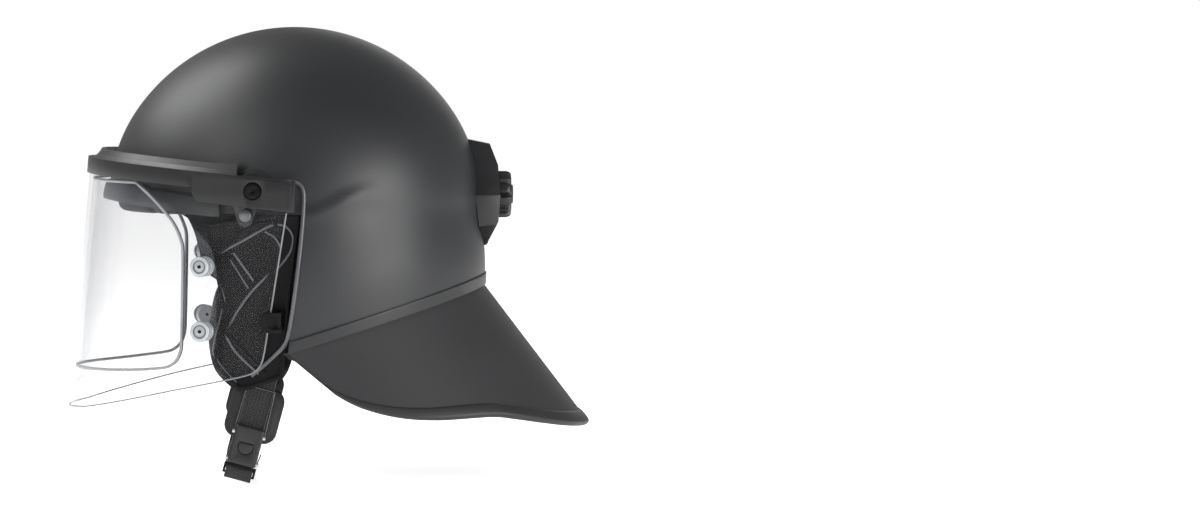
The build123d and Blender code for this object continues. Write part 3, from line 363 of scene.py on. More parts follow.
turn_start = math.asin((guard_front_y - axis_y) / guard_depth)
turns = np.linspace(turn_start, math.pi - turn_start, 241)
ends = [guard_end(turn) for turn in turns]
rows = 30
tuck = 0.012
points = [guard_point(turn, -tuck + (end * 0.985 + tuck) * r / (rows - 1), gap)
          for gap in (0.0, -guard_wall) for r in range(rows) for turn, end in zip(turns, ends)]
mesh_piece("neck_guard_skirt", points, joined_skins(rows, len(turns)), "helmet", guard_skin,
           ["neck_guard"])

# Guard edging: a folded border of black rubber, thicker than the skirt, with a rolled lower lip.
# One section carried along the lower edge, shorter where the skirt runs out at the front.


def closed_tube(rows, columns):
    """Faces of a grid that closes round its columns, with a cap at each end."""
    last = rows * columns - 1
    return grid_faces(rows, columns, True) + [tuple(range(columns)), tuple(range(last, last - columns, -1))]


edging = surface("edging_rubber", "1A1A1C", "222224", 0.5, 1700.0, 0.00006, patch=30.0, spread=0.05)
section = [(11.6, 0.0), (10.6, 0.9), (9.0, 1.2), (2.6, 1.35), (0.9, 1.0), (-0.1, 0.1), (-0.5, -1.5),
           (-0.1, -3.1), (0.9, -4.0), (2.6, -4.35), (9.0, -4.2), (10.6, -3.9), (11.6, -3.0)]
full_reach = 12.5
points = []
for turn, end in zip(turns, ends):
    edge = guard_point(turn, end, 0)
    above = (guard_point(turn, end - 0.05, 0) - edge).normalized()
    sideways = (guard_point(turn + 0.01, end, 0) - guard_point(turn - 0.01, end, 0)).normalized()
    out = above.cross(sideways).normalized()
    if out.dot(Vector((edge.x, edge.y - 20, 0))) < 0:
        out = -out
    reach = min(1.0, max(0.12, (edge - guard_point(turn, 0, 0)).length / full_reach))
    points += [edge + above * (u * reach) + out * v for u, v in section]
mesh_piece("neck_guard_rolled_edge", points, closed_tube(len(turns), len(section)), "helmet",
           edging, ["neck_guard_edging"], 45.0)

# Visor bar and brow apron: black glass-filled nylon, moulded with a finer grain and a little more gloss.
# The bar is its solid with rounded edges, and the apron keeps its solid's shape.


def plain(names, material):
    """Give CAD nodes that keep their own shape their material."""
    for name in names:
        nodes[name].data.materials.clear()
        nodes[name].data.materials.append(material)
        smooth(nodes[name], 32)


bar_plastic = surface("grained_black_nylon", "131315", "1A1B1D", 0.38, 3200.0, 0.00003, patch=70.0,
                      spread=0.05)
edged("visor_bar", "visor", bar_plastic, 1.1, 3)
plain(["brow_apron"], bar_plastic)

# Visor arm blocks: raised ends of the bar's nylon that carry the pivots, each with a narrow end rib.
# A curved slab on each arm, cut to the side outline, with a round hole for the pivot screw.


def round_block(corners, rounding, steps=6):
    """Side outline from corner points, each rounded by its own radius."""
    points = []
    count = len(corners)
    for i, (place, radius) in enumerate(zip(corners, rounding)):
        here = Vector(place)
        back = (Vector(corners[i - 1]) - here).normalized() * radius
        ahead = (Vector(corners[(i + 1) % count]) - here).normalized() * radius
        for k in range(steps + 1):
            t = k / steps
            spot = (here + back) * (1 - t) ** 2 + here * 2 * t * (1 - t) + (here + ahead) * t ** 2
            points.append(tuple(spot))
    return points


def curved_slab(name, radius, wall, turns, heights, outline, holes, side, rounding):
    """A closed slab on an upright cylinder, cut to a side outline with round holes through it."""
    across = np.linspace(*turns, 60)
    rows = np.linspace(*heights, 5)
    points = [(side * r * math.sin(a), arm_centre_y - r * math.cos(a), z)
              for r in (radius, radius - wall) for z in rows for a in across]
    faces = joined_skins(len(rows), len(across))
    slab = mesh_piece(name, points, faces, "visor", bar_plastic, (), 30)
    carve(slab, prism(outline, arm_reach), "INTERSECT")
    for hole_y, hole_z, size in holes:
        angles = [k * math.pi / 20 for k in range(40)]
        ring = [(hole_y + size * math.cos(a), hole_z + size * math.sin(a)) for a in angles]
        carve(slab, prism(ring, arm_reach), "DIFFERENCE")
    rounded_edges(slab, rounding, 3, 50.0)
    smooth(slab, 30)


arm_centre_y, arm_reach = -3.0, 220
pivot_hole = (-35.25, 0.0, 6.9)
block_outline = round_block([(-79.4, 13.4), (-4.0, 5.6), (-4.6, -16.0), (-79.4, -7.6)], [0.8, 1.6, 1.6, 6.5])
rib_outline = round_block([(-8.6, 5.2), (-6.4, 5.0), (-7.2, -14.6), (-9.4, -14.4)], [0.6, 0.6, 0.6, 0.6])
both_sides = ((1, "left"), (-1, "right"))
for side, word in both_sides:
    curved_slab(f"visor_arm_block_{word}", 158.2, 2.4, (1.0, 1.66), (-22, 18), block_outline, [pivot_hole],
                side, 0.5)
    curved_slab(f"visor_arm_rib_{word}", 158.9, 1.2, (1.45, 1.66), (-18, 9), rib_outline, [], side, 0.25)

# Hinge bases: plates of the bar's nylon on the shell, under the arms, which the pivot screws pass through.
# The solids with rounded edges.
for word in ("left", "right"):
    edged(f"hinge_base_{word}", "helmet", bar_plastic, 0.5)

# Visor lens: 3 mm of clear polycarbonate, bent round the face and narrower below.
# Two nested skins between the lens's leaning circles, cut to the side outline. The sheet shows little
# face on and more at a slant, a painted reflection, and its polished edges are brighter, a painted glint.


def clear(name, tint, facing, grazing, roughness):
    """Clear plastic: see-through face on, and brighter and more solid where it is seen edge on, a painted
    reflection.
    """
    material = bpy.data.materials.new(name)
    material.use_nodes = True
    tree = material.node_tree
    shader = tree.nodes["Principled BSDF"]
    for key, value in (("Base Color", linear(tint)), ("Roughness", roughness), ("IOR", 1.58)):
        shader.inputs[key].default_value = value
    place = add(tree, "ShaderNodeTexCoord").outputs["Object"]
    haze = add(tree, "ShaderNodeTexNoise", Vector=place, Scale=9.0, Detail=2.0)
    rim = add(tree, "ShaderNodeLayerWeight", Blend=0.35)
    fade = add(tree, "ShaderNodeMapRange", Value=rim.outputs["Facing"], From_Min=0.3, To_Min=facing,
               To_Max=grazing)
    gain = add(tree, "ShaderNodeMapRange", Value=haze.outputs["Fac"], To_Min=0.85, To_Max=1.15)
    mixed = add(tree, "ShaderNodeMath", i0=fade.outputs["Result"], i1=gain.outputs["Result"])
    mixed.operation = "MULTIPLY"
    tree.links.new(mixed.outputs["Value"], shader.inputs["Alpha"])
    return material


lens_clear = clear("clear_polycarbonate", "B4B6BA", 0.012, 0.34, 0.03)
# Edge faces: a paler, more solid grey, a painted glint on the polished edges.
lens_edge_glint = clear("polished_lens_edge_painted_glint", "9DA1A5", 0.35, 0.6, 0.12)
lens_wall = 3.0
lens_table = np.array([[z ** p for p in range(4)] for z in (30.0, -40.0, -90.0, -190.0)])
lens_radius_fit = np.linalg.solve(lens_table, [154.6, 153.0, 140.6, 127.0])
lens_centre_fit = np.linalg.solve(lens_table, [-1.0, -9.4, -26.6, -49.8])


def lens_circle(z):
    """Radius and centre of the lens's outer circle at a height."""
    return [float(sum(c * z ** p for p, c in enumerate(fit))) for fit in (lens_radius_fit, lens_centre_fit)]


def lens_point(turn, z, gap):
    """Point of the lens's outer face, grown by a gap; turn 0 is the front and positive is left."""
    radius, centre = lens_circle(z)
    return Vector(((radius + gap) * math.sin(turn), centre - (radius + gap) * math.cos(turn), z))


def bent_sheet(name, outer_gap, inner_gap, outline, materials, stands_for, edge_width):
    """A closed sheet on the lens's form between two gaps, trimmed by a side outline."""
    across = np.linspace(-1.72, 1.72, 181)
    heights = np.linspace(24, -176, 90)
    points = [lens_point(a, z, gap) for gap in (outer_gap, inner_gap) for z in heights for a in across]
    faces = joined_skins(len(heights), len(across))
    sheet = mesh_piece(name, points, faces, "visor", materials[0], stands_for, 25.0)
    carve(sheet, prism(outline, cut_reach), "INTERSECT")
    rounded_edges(sheet, edge_width, 1, 50.0)
    sheet.data.materials.append(materials[1])
    for face in sheet.data.polygons:
        x, y, z = face.center * 1000
        radial = Vector((x, y - lens_circle(z)[1], 0)).normalized()
        face.material_index = 0 if abs(face.normal.dot(radial)) > 0.75 else 1
    smooth(sheet, 25)


corner = curve_points([(-26.6, -119), (-29, -128), (-35, -134.5), (-46, -138)], 10)
lens_outline = [(-260, 14.9), (-160, 14.9), (-79.6, 7.9), (-64, 7.9), (-59, -9.1), (-10.6, -9.1)]
lens_outline += [tuple(p) for p in corner] + [(-94, -148), (-160, -163.6), (-260, -182)]
bent_sheet("visor_lens_clear", 0.0, -lens_wall, lens_outline, [lens_clear, lens_edge_glint], ["visor_lens"], 0.4)

# Lens edge: the polished rim of the sheet, which catches the light all round below the bar.
# A fine grey cord of nearly solid clear material along the lens's side and lower outline, from side to side,
# inside the sheet: a painted glint for the light its edge catches.


def swept(name, path, normals, section, body, slot, material, stands_for=(), closed=False, angle=60.0):
    """A section of (across, out) points carried along a path, with its out direction given."""
    count = len(path)
    size = len(section)
    points = []
    uvs = []
    length = 0.0
    for i, (place, normal) in enumerate(zip(path, normals)):
        ahead = path[(i + 1) % count] if closed or i < count - 1 else place
        behind = path[i - 1] if closed or i > 0 else place
        along = (ahead - behind).normalized()
        out = (normal - along * normal.dot(along)).normalized()
        across = along.cross(out).normalized()
        if i:
            length += (place - path[i - 1]).length
        for u, v in section:
            points.append(place + across * u + out * v)
            uvs.append((u / 10, length / 10))
    if closed:
        last = (count - 1) * size
        faces = grid_faces(count, size, True)
        faces += [(last + c, last + (c + 1) % size, (c + 1) % size, c) for c in range(size)]
    else:
        faces = closed_tube(count, size)
    return mesh_piece(name, points, faces, body, material, stands_for, angle, uvs)


def round_cord(radius, sides=8):
    """Round section of a bead or wire."""
    return [(radius * math.cos(a), radius * math.sin(a)) for a in np.linspace(0, 2 * math.pi, sides + 1)[:-1]]


def on_lens(y, z, side, gap):
    """Point and outward direction of the lens's form at a place seen from the side."""
    radius, centre = lens_circle(z)
    turn = math.acos(max(-1.0, min(1.0, (centre - y) / (radius + gap))))
    return lens_point(side * turn, z, gap), Vector((side * math.sin(turn), -math.cos(turn), 0))


# Painted glint: a nearly solid grey cord for the light along the lens's edge.
edge_cord_glint = clear("lens_edge_painted_glint_cord", "8A8E91", 0.75, 0.95, 0.1)
edge_places = [(-10.6 - 16.0 * k / 30, -16.0 - 103.0 * k / 30) for k in range(31)]
edge_places += [tuple(p) for p in corner[1:]]
edge_places += [(-46 - 48 * k / 16, -138 - 10 * k / 16) for k in range(1, 17)]
edge_places += [(-94 - 66 * k / 40, -148 - 15.6 * k / 40) for k in range(1, 41)]
edge_places += [(-160 - 14.6 * math.sin(math.pi / 2 * k / 24), -163.6 - 2.3 * k / 24) for k in range(1, 25)]
glint_cord_gap = -1.4
run = [on_lens(y, z, 1, glint_cord_gap) for y, z in edge_places]
run += [on_lens(y, z, -1, glint_cord_gap) for y, z in edge_places][::-1]
swept("lens_edge_glint_cord", *zip(*run), round_cord(0.62), "visor", "clear_lens", edge_cord_glint)

# Anti-fog insert: a thin inner sheet of clear plastic behind the lens, a little greyer than the lens.
# The lens's form, set back and cut to its own outline.
insert_clear = clear("clear_inner_sheet", "9C9DA6", 0.06, 0.1, 0.04)
upper_curve = curve_points([(-119.2, 5.5), (-96, -14), (-76, -30), (-66, -42), (-62, -56)], 16)
lower_curve = curve_points([(-62, -104), (-63.5, -118), (-70, -130), (-86.5, -138.5)], 12)
insert_outline = [(-260, 5.5)] + [tuple(p) for p in upper_curve + lower_curve] + [(-160, -146), (-260, -149)]
insert_setback, insert_wall = 5.6, 1.2
bent_sheet("antifog_sheet", -insert_setback, -insert_setback - insert_wall, insert_outline,
           [insert_clear, lens_edge_glint], ["antifog_insert"], 0.2)

# Insert seal: a soft frame of pale milky silicone between the lens and the insert, with a dark line behind it
# that is painted shade.
# A flat rounded section carried round the seal's outline, and a fine dark bead of painted shade beside each
# upright run. It lets no light through here, because a render follows a ray through eight clear faces at
# most.


def round_section(width, height, corner, steps=4):
    """Rounded rectangle as a closed list of points."""
    points = []
    for cx, cy, start in ((1, 1, 0), (-1, 1, 90), (-1, -1, 180), (1, -1, 270)):
        for k in range(steps + 1):
            a = math.radians(start + 90 * k / steps)
            across = cx * (width / 2 - corner) + corner * math.cos(a)
            points.append((across, cy * (height / 2 - corner) + corner * math.sin(a)))
    return points


silicone = surface("seal_silicone", "8C8F93", "A0A3A6", 0.4, 1200.0, 0.00002, patch=60.0, spread=0.04)
seal_gap = -4.3
seal_top, seal_bottom, seal_bow = 4.5, -132.2, 3.2
side_line = curve_points([(-121.15, seal_top), (-107.9, -7.6), (-94.7, -22.7), (-88.1, -36.3), (-86.5, -46.9),
                          (-86.9, -80), (-87.6, -112), (-88.8, -120.5), (-92.2, -127), (-98.0, -130.9),
                          (-105.0, seal_bottom)], 80)
side_run = [on_lens(y, z, 1, seal_gap)[0] for y, z in side_line]
top_turn = math.atan2(side_run[0].x, lens_circle(seal_top)[1] - side_run[0].y)
low_turn = math.atan2(side_run[-1].x, lens_circle(seal_bottom)[1] - side_run[-1].y)
half = [lens_point(top_turn * t, seal_top, seal_gap) for t in np.linspace(0, 1, 30)[:-1]] + side_run
half += [lens_point(low_turn * t, seal_bottom - seal_bow * (1 - t ** 4), seal_gap)
         for t in np.linspace(1, 0, 30)[1:-1]]
loop = half + [Vector((-p.x, p.y, p.z)) for p in half[1:]][::-1]
normals = [Vector((p.x, p.y - lens_circle(p.z)[1], 0)).normalized() for p in loop]
swept("insert_seal_frame", loop, normals, round_section(2.2, 2.4, 0.9), "visor", "seal_silicone", silicone,
      ["insert_seal"], closed=True, angle=50)
# Painted shade: a dark grey for the dark lines that the clear seal's and studs' edges show.
edge_shade_paint = surface("painted_edge_shade", "3A3C3E", "4A4D50", 0.4, 1500.0, 0.00002)
shade_line_gap, shade_line_offset = -3.9, 1.1
for side, word in both_sides:
    run = [on_lens(y + shade_line_offset, z, side, shade_line_gap) for y, z in side_line]
    swept(f"seal_shade_line_{word}", *zip(*run), round_cord(0.42), "visor", "seal_silicone", edge_shade_paint)

# Insert studs: turned buttons of clear plastic outside and inside the lens, with blackened steel pins.
# Turned profiles square to the lens at the four places, and two fine dark rings of painted shade on each head
# for the lines that its steps show. They are pale and solid for the same reason as the seal.


def lathe(name, profile, place, axis, body, material, stands_for=(), segments=48, angle=35.0):
    """Turned piece from (radius, height) points, standing on a place along an axis."""
    turn = Vector((0, 0, 1)).rotation_difference(Vector(axis))
    points = []
    for radius, height in profile:
        for k in range(segments):
            a = 2 * math.pi * k / segments
            points.append(Vector(place) + turn @ Vector((radius * math.cos(a), radius * math.sin(a), height)))
    return mesh_piece(name, points, closed_tube(len(profile), segments), body, material, stands_for,
                      angle)


stud_clear = surface("clear_stud_plastic", "A6A9AC", "BBBEC1", 0.14, 900.0, 0.00001, patch=260.0, spread=0.04,
                     coat=0.6)
pin_steel = surface("blackened_steel", "1A1A1B", "232324", 0.35, 2200.0, 0.00004, metal=0.9, patch=120.0)
head_profile = [(2.3, 0.0), (7.3, 0.0), (7.5, 0.4), (7.5, 1.9), (7.1, 2.6), (6.3, 3.0), (5.2, 2.9),
                (4.6, 2.2), (3.2, 2.1), (2.3, 2.3)]
nut_profile = [(2.3, 0.0), (6.9, 0.0), (7.4, 0.4), (7.4, 1.8), (6.8, 2.3), (2.3, 2.3)]
spacer_profile = [(2.3, 0.0), (7.0, 0.0), (7.3, 0.3), (7.3, 2.2), (7.0, 2.5), (2.3, 2.5)]
pin_profile = [(0.2, 0.0), (1.2, 0.0), (1.3, 0.3), (1.3, 12.2), (1.1, 12.8), (0.7, 12.9), (0.5, 12.0),
               (0.2, 12.0)]
stud_y = -73.4
stud_places = [(side, z) for side in (1, -1) for z in (-56.0, -104.0)]
head_lift, spacer_drop, nut_drop, pin_drop = 0.05, 5.55, 6.85, 9.2
ring_angles = np.linspace(0, 2 * math.pi, 49)[:-1]
ring_section = round_section(0.5, 0.5, 0.2, 2)
upright = Vector((0, 0, 1))
for index, (side, z) in enumerate(stud_places, 1):
    radius, centre = lens_circle(z)
    seat = lens_point(side * math.acos((centre - stud_y) / radius), z, 0)
    out = Vector((seat.x, seat.y - centre, 0)).normalized()
    first = index == 1
    lathe(f"stud_head_{index}", head_profile, seat + out * head_lift, out, "visor", stud_clear,
          ["insert_studs"] if first else [])
    lathe(f"stud_spacer_{index}", spacer_profile, seat - out * spacer_drop, out, "visor",
          stud_clear)
    lathe(f"stud_nut_{index}", nut_profile, seat - out * nut_drop, -out, "visor", stud_clear)
    level = out.cross(upright).normalized()
    for label, size, lift in (("outer", 7.2, 2.1), ("inner", 4.4, 2.9)):
        middle = seat + out * lift
        ring_path = [middle + (level * math.cos(a) + upright * math.sin(a)) * size for a in ring_angles]
        swept(f"stud_shade_ring_{label}_{index}", ring_path, [out] * len(ring_path), ring_section, "visor",
              "clear_stud", edge_shade_paint, closed=True)
    lathe(f"stud_pin_{index}", pin_profile, seat - out * pin_drop, out, "visor", pin_steel,
          ["stud_pins"] if first else [], 32)

# Pivot and lens screws: blackened steel socket screws in the pivots, and chromed screws low on the arms.
# The solids with rounded edges, and a dark six-sided disc of blackened steel on each chromed head, painted
# shade for its socket.
edged("pivot_screws", "helmet", pin_steel, 0.5, 3)
chrome = surface("polished_chrome", "4C4D4F", "77787A", 0.2, 900.0, 0.00001, metal=1.0, patch=200.0,
                 spread=0.03)
edged("lens_screws", "visor", chrome, 0.7, 3)
# Painted shade: a thin dark hexagon on each head where the socket's hollow would be shaded.
socket_shade_profile = [(0.2, 0.0), (1.9, 0.0), (2.0, 0.2), (2.0, 0.5), (0.2, 0.5)]
screw_x, screw_y, screw_z, screw_turn = 152.6, -40.7, -18.0, -0.225
for index, side in enumerate((1, -1), 1):
    lathe(f"lens_screw_socket_shade_{index}", socket_shade_profile, (side * screw_x, screw_y, screw_z),
          (side, screw_turn, 0), "visor", pin_steel, (), 6)

# Visor catches: small clamps of the ear guards' black plastic on the lens's rear edges.
# The solids with rounded edges. The plastic mirrors little, so that it stays black behind the lens.
ear_plastic = surface("ear_guard_plastic", "0C0C0D", "121213", 0.34, 2800.0, 0.00001, patch=80.0, spread=0.05)
ear_plastic.node_tree.nodes["Principled BSDF"].inputs["Specular IOR Level"].default_value = 0.12
for word in ("left", "right"):
    edged(f"visor_catch_{word}", "visor", ear_plastic, 0.45)

# Ear guards: moulded black plates with a beaded edge, a relief ridge and a recessed bare window.
# The solids with softened beads.
for word in ("left", "right"):
    edged(f"ear_guard_{word}", "helmet", ear_plastic, 0.7, 3, 28)

# Ear guard rim: the rounded rear bead of each guard, from behind the visor arm down to the jaw.
# A bead of the same plastic, polished by its mould and painted mid grey as a painted highlight, carried along
# the shell's front edge.


def jaw_radius(z):
    """Radius of the ear guards' cone at a height."""
    return 134.0 - 12.5 * (-z / 165.0)


def side_bead(name, route, radii, section, side):
    """A bead along side-view places, each at its own radius round the shell's axis."""
    path = [Vector((side * math.sqrt(r ** 2 - (y - axis_y) ** 2), y, z)) for (y, z), r in zip(route, radii)]
    normals = [Vector((p.x, p.y - axis_y, 0)).normalized() for p in path]
    swept(name, path, normals, section, "helmet", "black_plastic", bead_painted_highlight)


# Painted highlight: the beads' black plastic is coloured mid grey for the light that their rounded edges
# catch.
bead_painted_highlight = surface("polished_bead_painted_highlight", "4A4A4E", "5A5A5F", 0.24, 2600.0, 0.00001, patch=120.0,
                       spread=0.03)
rim_route = curve_points([(-16, 6.5), (-6, 6.3), (-1.2, 4.6), (1.6, 0.2), (2.2, -9), (0.2, -36), (-4.0, -73),
                          (-8.6, -103), (-12.0, -113.5), (-22, -124.5), (-36, -137)], 120)
rim_radii = []
for y, z in rim_route:
    blend = step(-z, 100, 137)
    rim_radii.append(helmet_radius(max(z, -150), 1.4) * (1 - blend) + (jaw_radius(z) + 1.0) * blend)
for side, word in both_sides:
    side_bead(f"ear_guard_bead_{word}", rim_route, rim_radii, round_section(3.0, 3.2, 1.4), side)

# Ear guard relief: a capsule-shaped ridge with a long tail, the rim of its window, two slot ribs and the
# Fine beads of the same plastic, painted mid grey as painted highlights, laid on the guard's cone.
relief_lift = 0.9
relief_routes = (
    ("ridge", 1.9, 1.3, [(-58.2, -46.1), (-41.0, -36.6), (-25.5, -27.6), (-16.9, -25.2), (-9.6, -27.6),
                         (-5.6, -34.8), (-7.6, -45.2), (-15.2, -55.6), (-25.5, -64.2), (-34.1, -72.8),
                         (-41.0, -81.5), (-48.7, -93.5), (-54.0, -105.6), (-53.2, -110.8), (-46.2, -121.2),
                         (-31.0, -135.6)]),
    ("window_rim", 1.4, 0.9, [(-26.4, -30.6), (-19.0, -35.0), (-14.8, -42.6), (-14.2, -49.4)]),
    ("slot_rib_1", 1.3, 1.1, [(-51.6, -51.6), (-38.4, -72.6)]),
    ("slot_rib_2", 1.7, 1.2, [(-49.2, -46.6), (-34.6, -66.8)]),
    ("front_edge", 1.1, 1.1, [(-65.1, -53.0), (-60.8, -65.5), (-56.6, -78.0), (-56.3, -83.0), (-59.9, -97.0),
                              (-64.2, -116.5), (-62.8, -123.8), (-54.0, -135.2), (-47.0, -142.0)]),
)
for side, word in both_sides:
    for label, width, height, keys in relief_routes:
        straight = [Vector(keys[0]).lerp(Vector(keys[1]), k / 12) for k in range(13)]
        route = straight if len(keys) == 2 else curve_points(keys, 110)
        side_bead(f"ear_guard_{label}_{word}", route, [jaw_radius(z) + relief_lift for y, z in route],
                  round_section(width, height, height * 0.45), side)

# Cheek wings: soft wings of knitted mesh that close the temple between the cheek cushion and the brow.
# Thin crowned panels inside the face opening. The knit's loops are drawn coarse enough to show.


def cushion_rings(rings):
    """Rings of a cushion's front face outwards, then of its back face inwards, as (layer, ring)."""
    return [(0, ring) for ring in rings] + [(1, ring) for ring in rings[:-1][::-1]]


knit = surface("knitted_mesh_fabric", "0C0C0E", "151517", 0.85, 1500.0, 0.0006, patch=220.0, spread=0.05,
               sheen=0.12)
knit.node_tree.nodes["Principled BSDF"].inputs["Specular IOR Level"].default_value = 0.2
wing_outline = curve_points([(-88, -17), (-83, -22), (-78, -33), (-74.5, -46), (-71, -60), (-52, -70),
                             (-30, -66), (-20, -40), (-24, -19), (-55, -16)], 90, closed=True)
wing_middle = Vector((-52.0, -40.0))
wing_rings = cushion_rings([0.2, 0.45, 0.7, 0.88, 0.96, 1.0])
wing_radius, wing_lean, wing_thickness, wing_edge = 127.5, 2.0, 2.4, 0.4
for side, word in both_sides:
    points = []
    for layer, ring in wing_rings:
        for p in wing_outline:
            y, z = wing_middle + (Vector(p) - wing_middle) * ring
            x = math.sqrt((wing_radius - wing_lean * step(-z, 30, 60)) ** 2 - (y - axis_y) ** 2)
            x -= layer * (wing_thickness * (1 - ring ** 4) ** 0.5 + wing_edge)
            points.append((side * x, y, z))
    wing = mesh_piece(f"cheek_wing_{word}", points, closed_tube(len(wing_rings), len(wing_outline)), "helmet",
                      knit, (), 60)

# Cheek pads: black knitted mesh over foam, crowned inside, with drawn-in sides and two sewn channels.
# A polar grid over the pad's outline, flatter against the ear guard.
pad_shares = [(0.25, 0.01), (0.55, 0.0), (0.80, 0.05), (0.94, 0.22), (0.99, 0.52), (0.90, 0.80), (0.62, 0.98),
              (0.40, 0.99), (0.12, 0.82), (0.01, 0.52), (0.06, 0.2)]
pad_outline = curve_points([(-3 - 66 * y, -68 - 86 * z) for y, z in pad_shares], 120, closed=True)
pad_middle = Vector((-37.0, -110.0))
pad_rings = cushion_rings([0.12, 0.24, 0.36, 0.48, 0.6, 0.7, 0.79, 0.86, 0.92, 0.96, 0.985, 1.0])
pad_gap, pad_tuck, pad_wall = 8.2, 9.0, 3
pad_thickness, pad_thinning = 15.5, 6.0
channel_width, channel_depth = 2.0, 3.6
for side, word in both_sides:
    points = []
    for layer, ring in pad_rings:
        puff = (1 - ring ** 5) ** 0.5
        for p in pad_outline:
            y, z = pad_middle + (Vector(p) - pad_middle) * ring * 0.985
            outer = jaw_radius(z) - pad_gap - pad_tuck * step(-z, 132, 142)
            x = math.sqrt(max(1.0, outer ** 2 - (y - axis_y) ** 2)) - pad_wall
            thick = pad_thickness - pad_thinning * step(-z, 134, 144)
            channels = (z + 96 + 0.25 * (y + 37), z + 124 - 0.2 * (y + 37))
            groove = sum(math.exp(-(off / channel_width) ** 2) for off in channels)
            if layer == 0:
                x += channel_depth * groove * puff - thick * (0.25 + 0.75 * puff)
            else:
                x += pad_wall * puff - pad_wall
            points.append((side * x, y, z))
    pad = mesh_piece(f"cheek_cushion_{word}", points, closed_tube(len(pad_rings), len(pad_outline)), "helmet",
                     knit, [f"cheek_pad_{word}"], 60)

# Brow pad: a bent roll of the same knitted mesh over foam, with stitched puckers.
# A crowned section turned round the forehead.
roll_half, roll_steps = 61, 120
roll_width, roll_height = 20.5, 12.5
roll_radius, roll_z = 125.4, -9.0
pucker_spacing, pucker_depth, pucker_width = 24.4, 0.16, 1.1
taper_start, taper_length = 57, 4.2
roll_section = round_section(roll_width, roll_height, 5.6, 6)
points = []
for i in range(roll_steps + 1):
    a = -roll_half + 2 * roll_half * i / roll_steps
    out = Vector((math.sin(math.radians(a)), -math.cos(math.radians(a)), 0))
    from_stitch = abs(a) % pucker_spacing - pucker_spacing / 2
    pucker = 1 - pucker_depth * math.exp(-(from_stitch / pucker_width) ** 2)
    size = pucker * math.sqrt(max(0.05, 1 - max(0, (abs(a) - taper_start) / taper_length) ** 2))
    middle = Vector((0, axis_y, roll_z)) + out * roll_radius
    for u, v in roll_section:
        bow = 1 + 0.05 * math.cos(math.pi * u / roll_width)
        points.append(middle + upright * u * size + out * v * size * bow)
brow = mesh_piece("brow_cushion", points, closed_tube(roll_steps + 1, len(roll_section)), "helmet",
                  knit, ["brow_pad"], 60)

# Crown pad: a round quilted cushion of the same mesh, with a ring channel and a cross channel.
# A polar grid, crowned towards the head.
cushion_radius, quilt_ring, quilt_width = 57.5, 29, 1.8
roof_gap, roof_curve, roof_clearance = 27.2, 111.8, 1.2
cushion_edge, cushion_puff, quilt_depth, back_puff = 2, 8.2, 3.2, 1.6
spokes = 144
crown_rings = cushion_rings([0.03] + [0.08 * k for k in range(1, 12)] + [0.93, 0.97, 0.99, 1.0])
points = []
for layer, ring in crown_rings:
    r = cushion_radius * ring
    roof = brow_z + (crown_rise - roof_gap) * math.sqrt(1 - (r / roof_curve) ** 2) - roof_clearance
    puff = math.sqrt(max(0.0, 1 - ring ** 7))
    for k in range(spokes):
        a = 2 * math.pi * k / spokes
        x, y = r * math.cos(a), r * math.sin(a)
        cross = min(abs(x - y), abs(x + y)) / math.sqrt(2)
        groove = max(math.exp(-((r - quilt_ring) / quilt_width) ** 2),
                     math.exp(-(cross / quilt_width) ** 2) * step(r, 27, 31))
        if layer == 0:
            z = roof - (cushion_edge + cushion_puff * puff) + quilt_depth * groove * puff
        else:
            z = roof - back_puff * (1 - puff)
        points.append((x, y + axis_y, z))
crown = mesh_piece("crown_cushion", points, closed_tube(len(crown_rings), spokes), "helmet",
                   knit, ["crown_pad"], 60)

# Jaw flaps: soft pads of black leatherette between the strap and the jaw, with rolled edges.
# A rounded slab in the strap's leaning plane, crowned on both faces.
leather = surface("soft_leatherette", "131211", "1C1A19", 0.6, 750.0, 0.0004, patch=90.0, spread=0.08)
lean = math.radians(15)
down = Vector((0, -math.sin(lean), -math.cos(lean)))
forward = Vector((0, -math.cos(lean), math.sin(lean)))
strap_origin = Vector((0, 10.3, 0))


def strap_place(x, drop, ahead=0.0):
    """Point in the strap's leaning plane: across, down and forwards."""
    return strap_origin + Vector((x, 0, 0)) + down * drop + forward * ahead


flap_outline = round_section(41.5, 39.5, 9.5, 6)
flap_rings = cushion_rings([0.1, 0.3, 0.5, 0.68, 0.8, 0.88, 0.94, 0.98, 1.0])
flap_x, flap_drop, flap_edge, flap_puff = 108.2, 171, 0.6, 2.3
seam_ring, seam_depth, seam_width = 0.88, 0.7, 0.03
for side, word in both_sides:
    points = []
    for layer, ring in flap_rings:
        puff = math.sqrt(max(0.0, 1 - ring ** 6))
        seam = seam_depth * math.exp(-((ring - seam_ring) / seam_width) ** 2)
        x = side * flap_x + (1 - 2 * layer) * (flap_edge + flap_puff * puff - seam)
        points += [strap_place(x, flap_drop - u * ring, v * ring) for u, v in flap_outline]
    flap = mesh_piece(f"jaw_cushion_{word}", points, closed_tube(len(flap_rings), len(flap_outline)),
                      "helmet", leather, [f"jaw_flap_{word}"], 60)

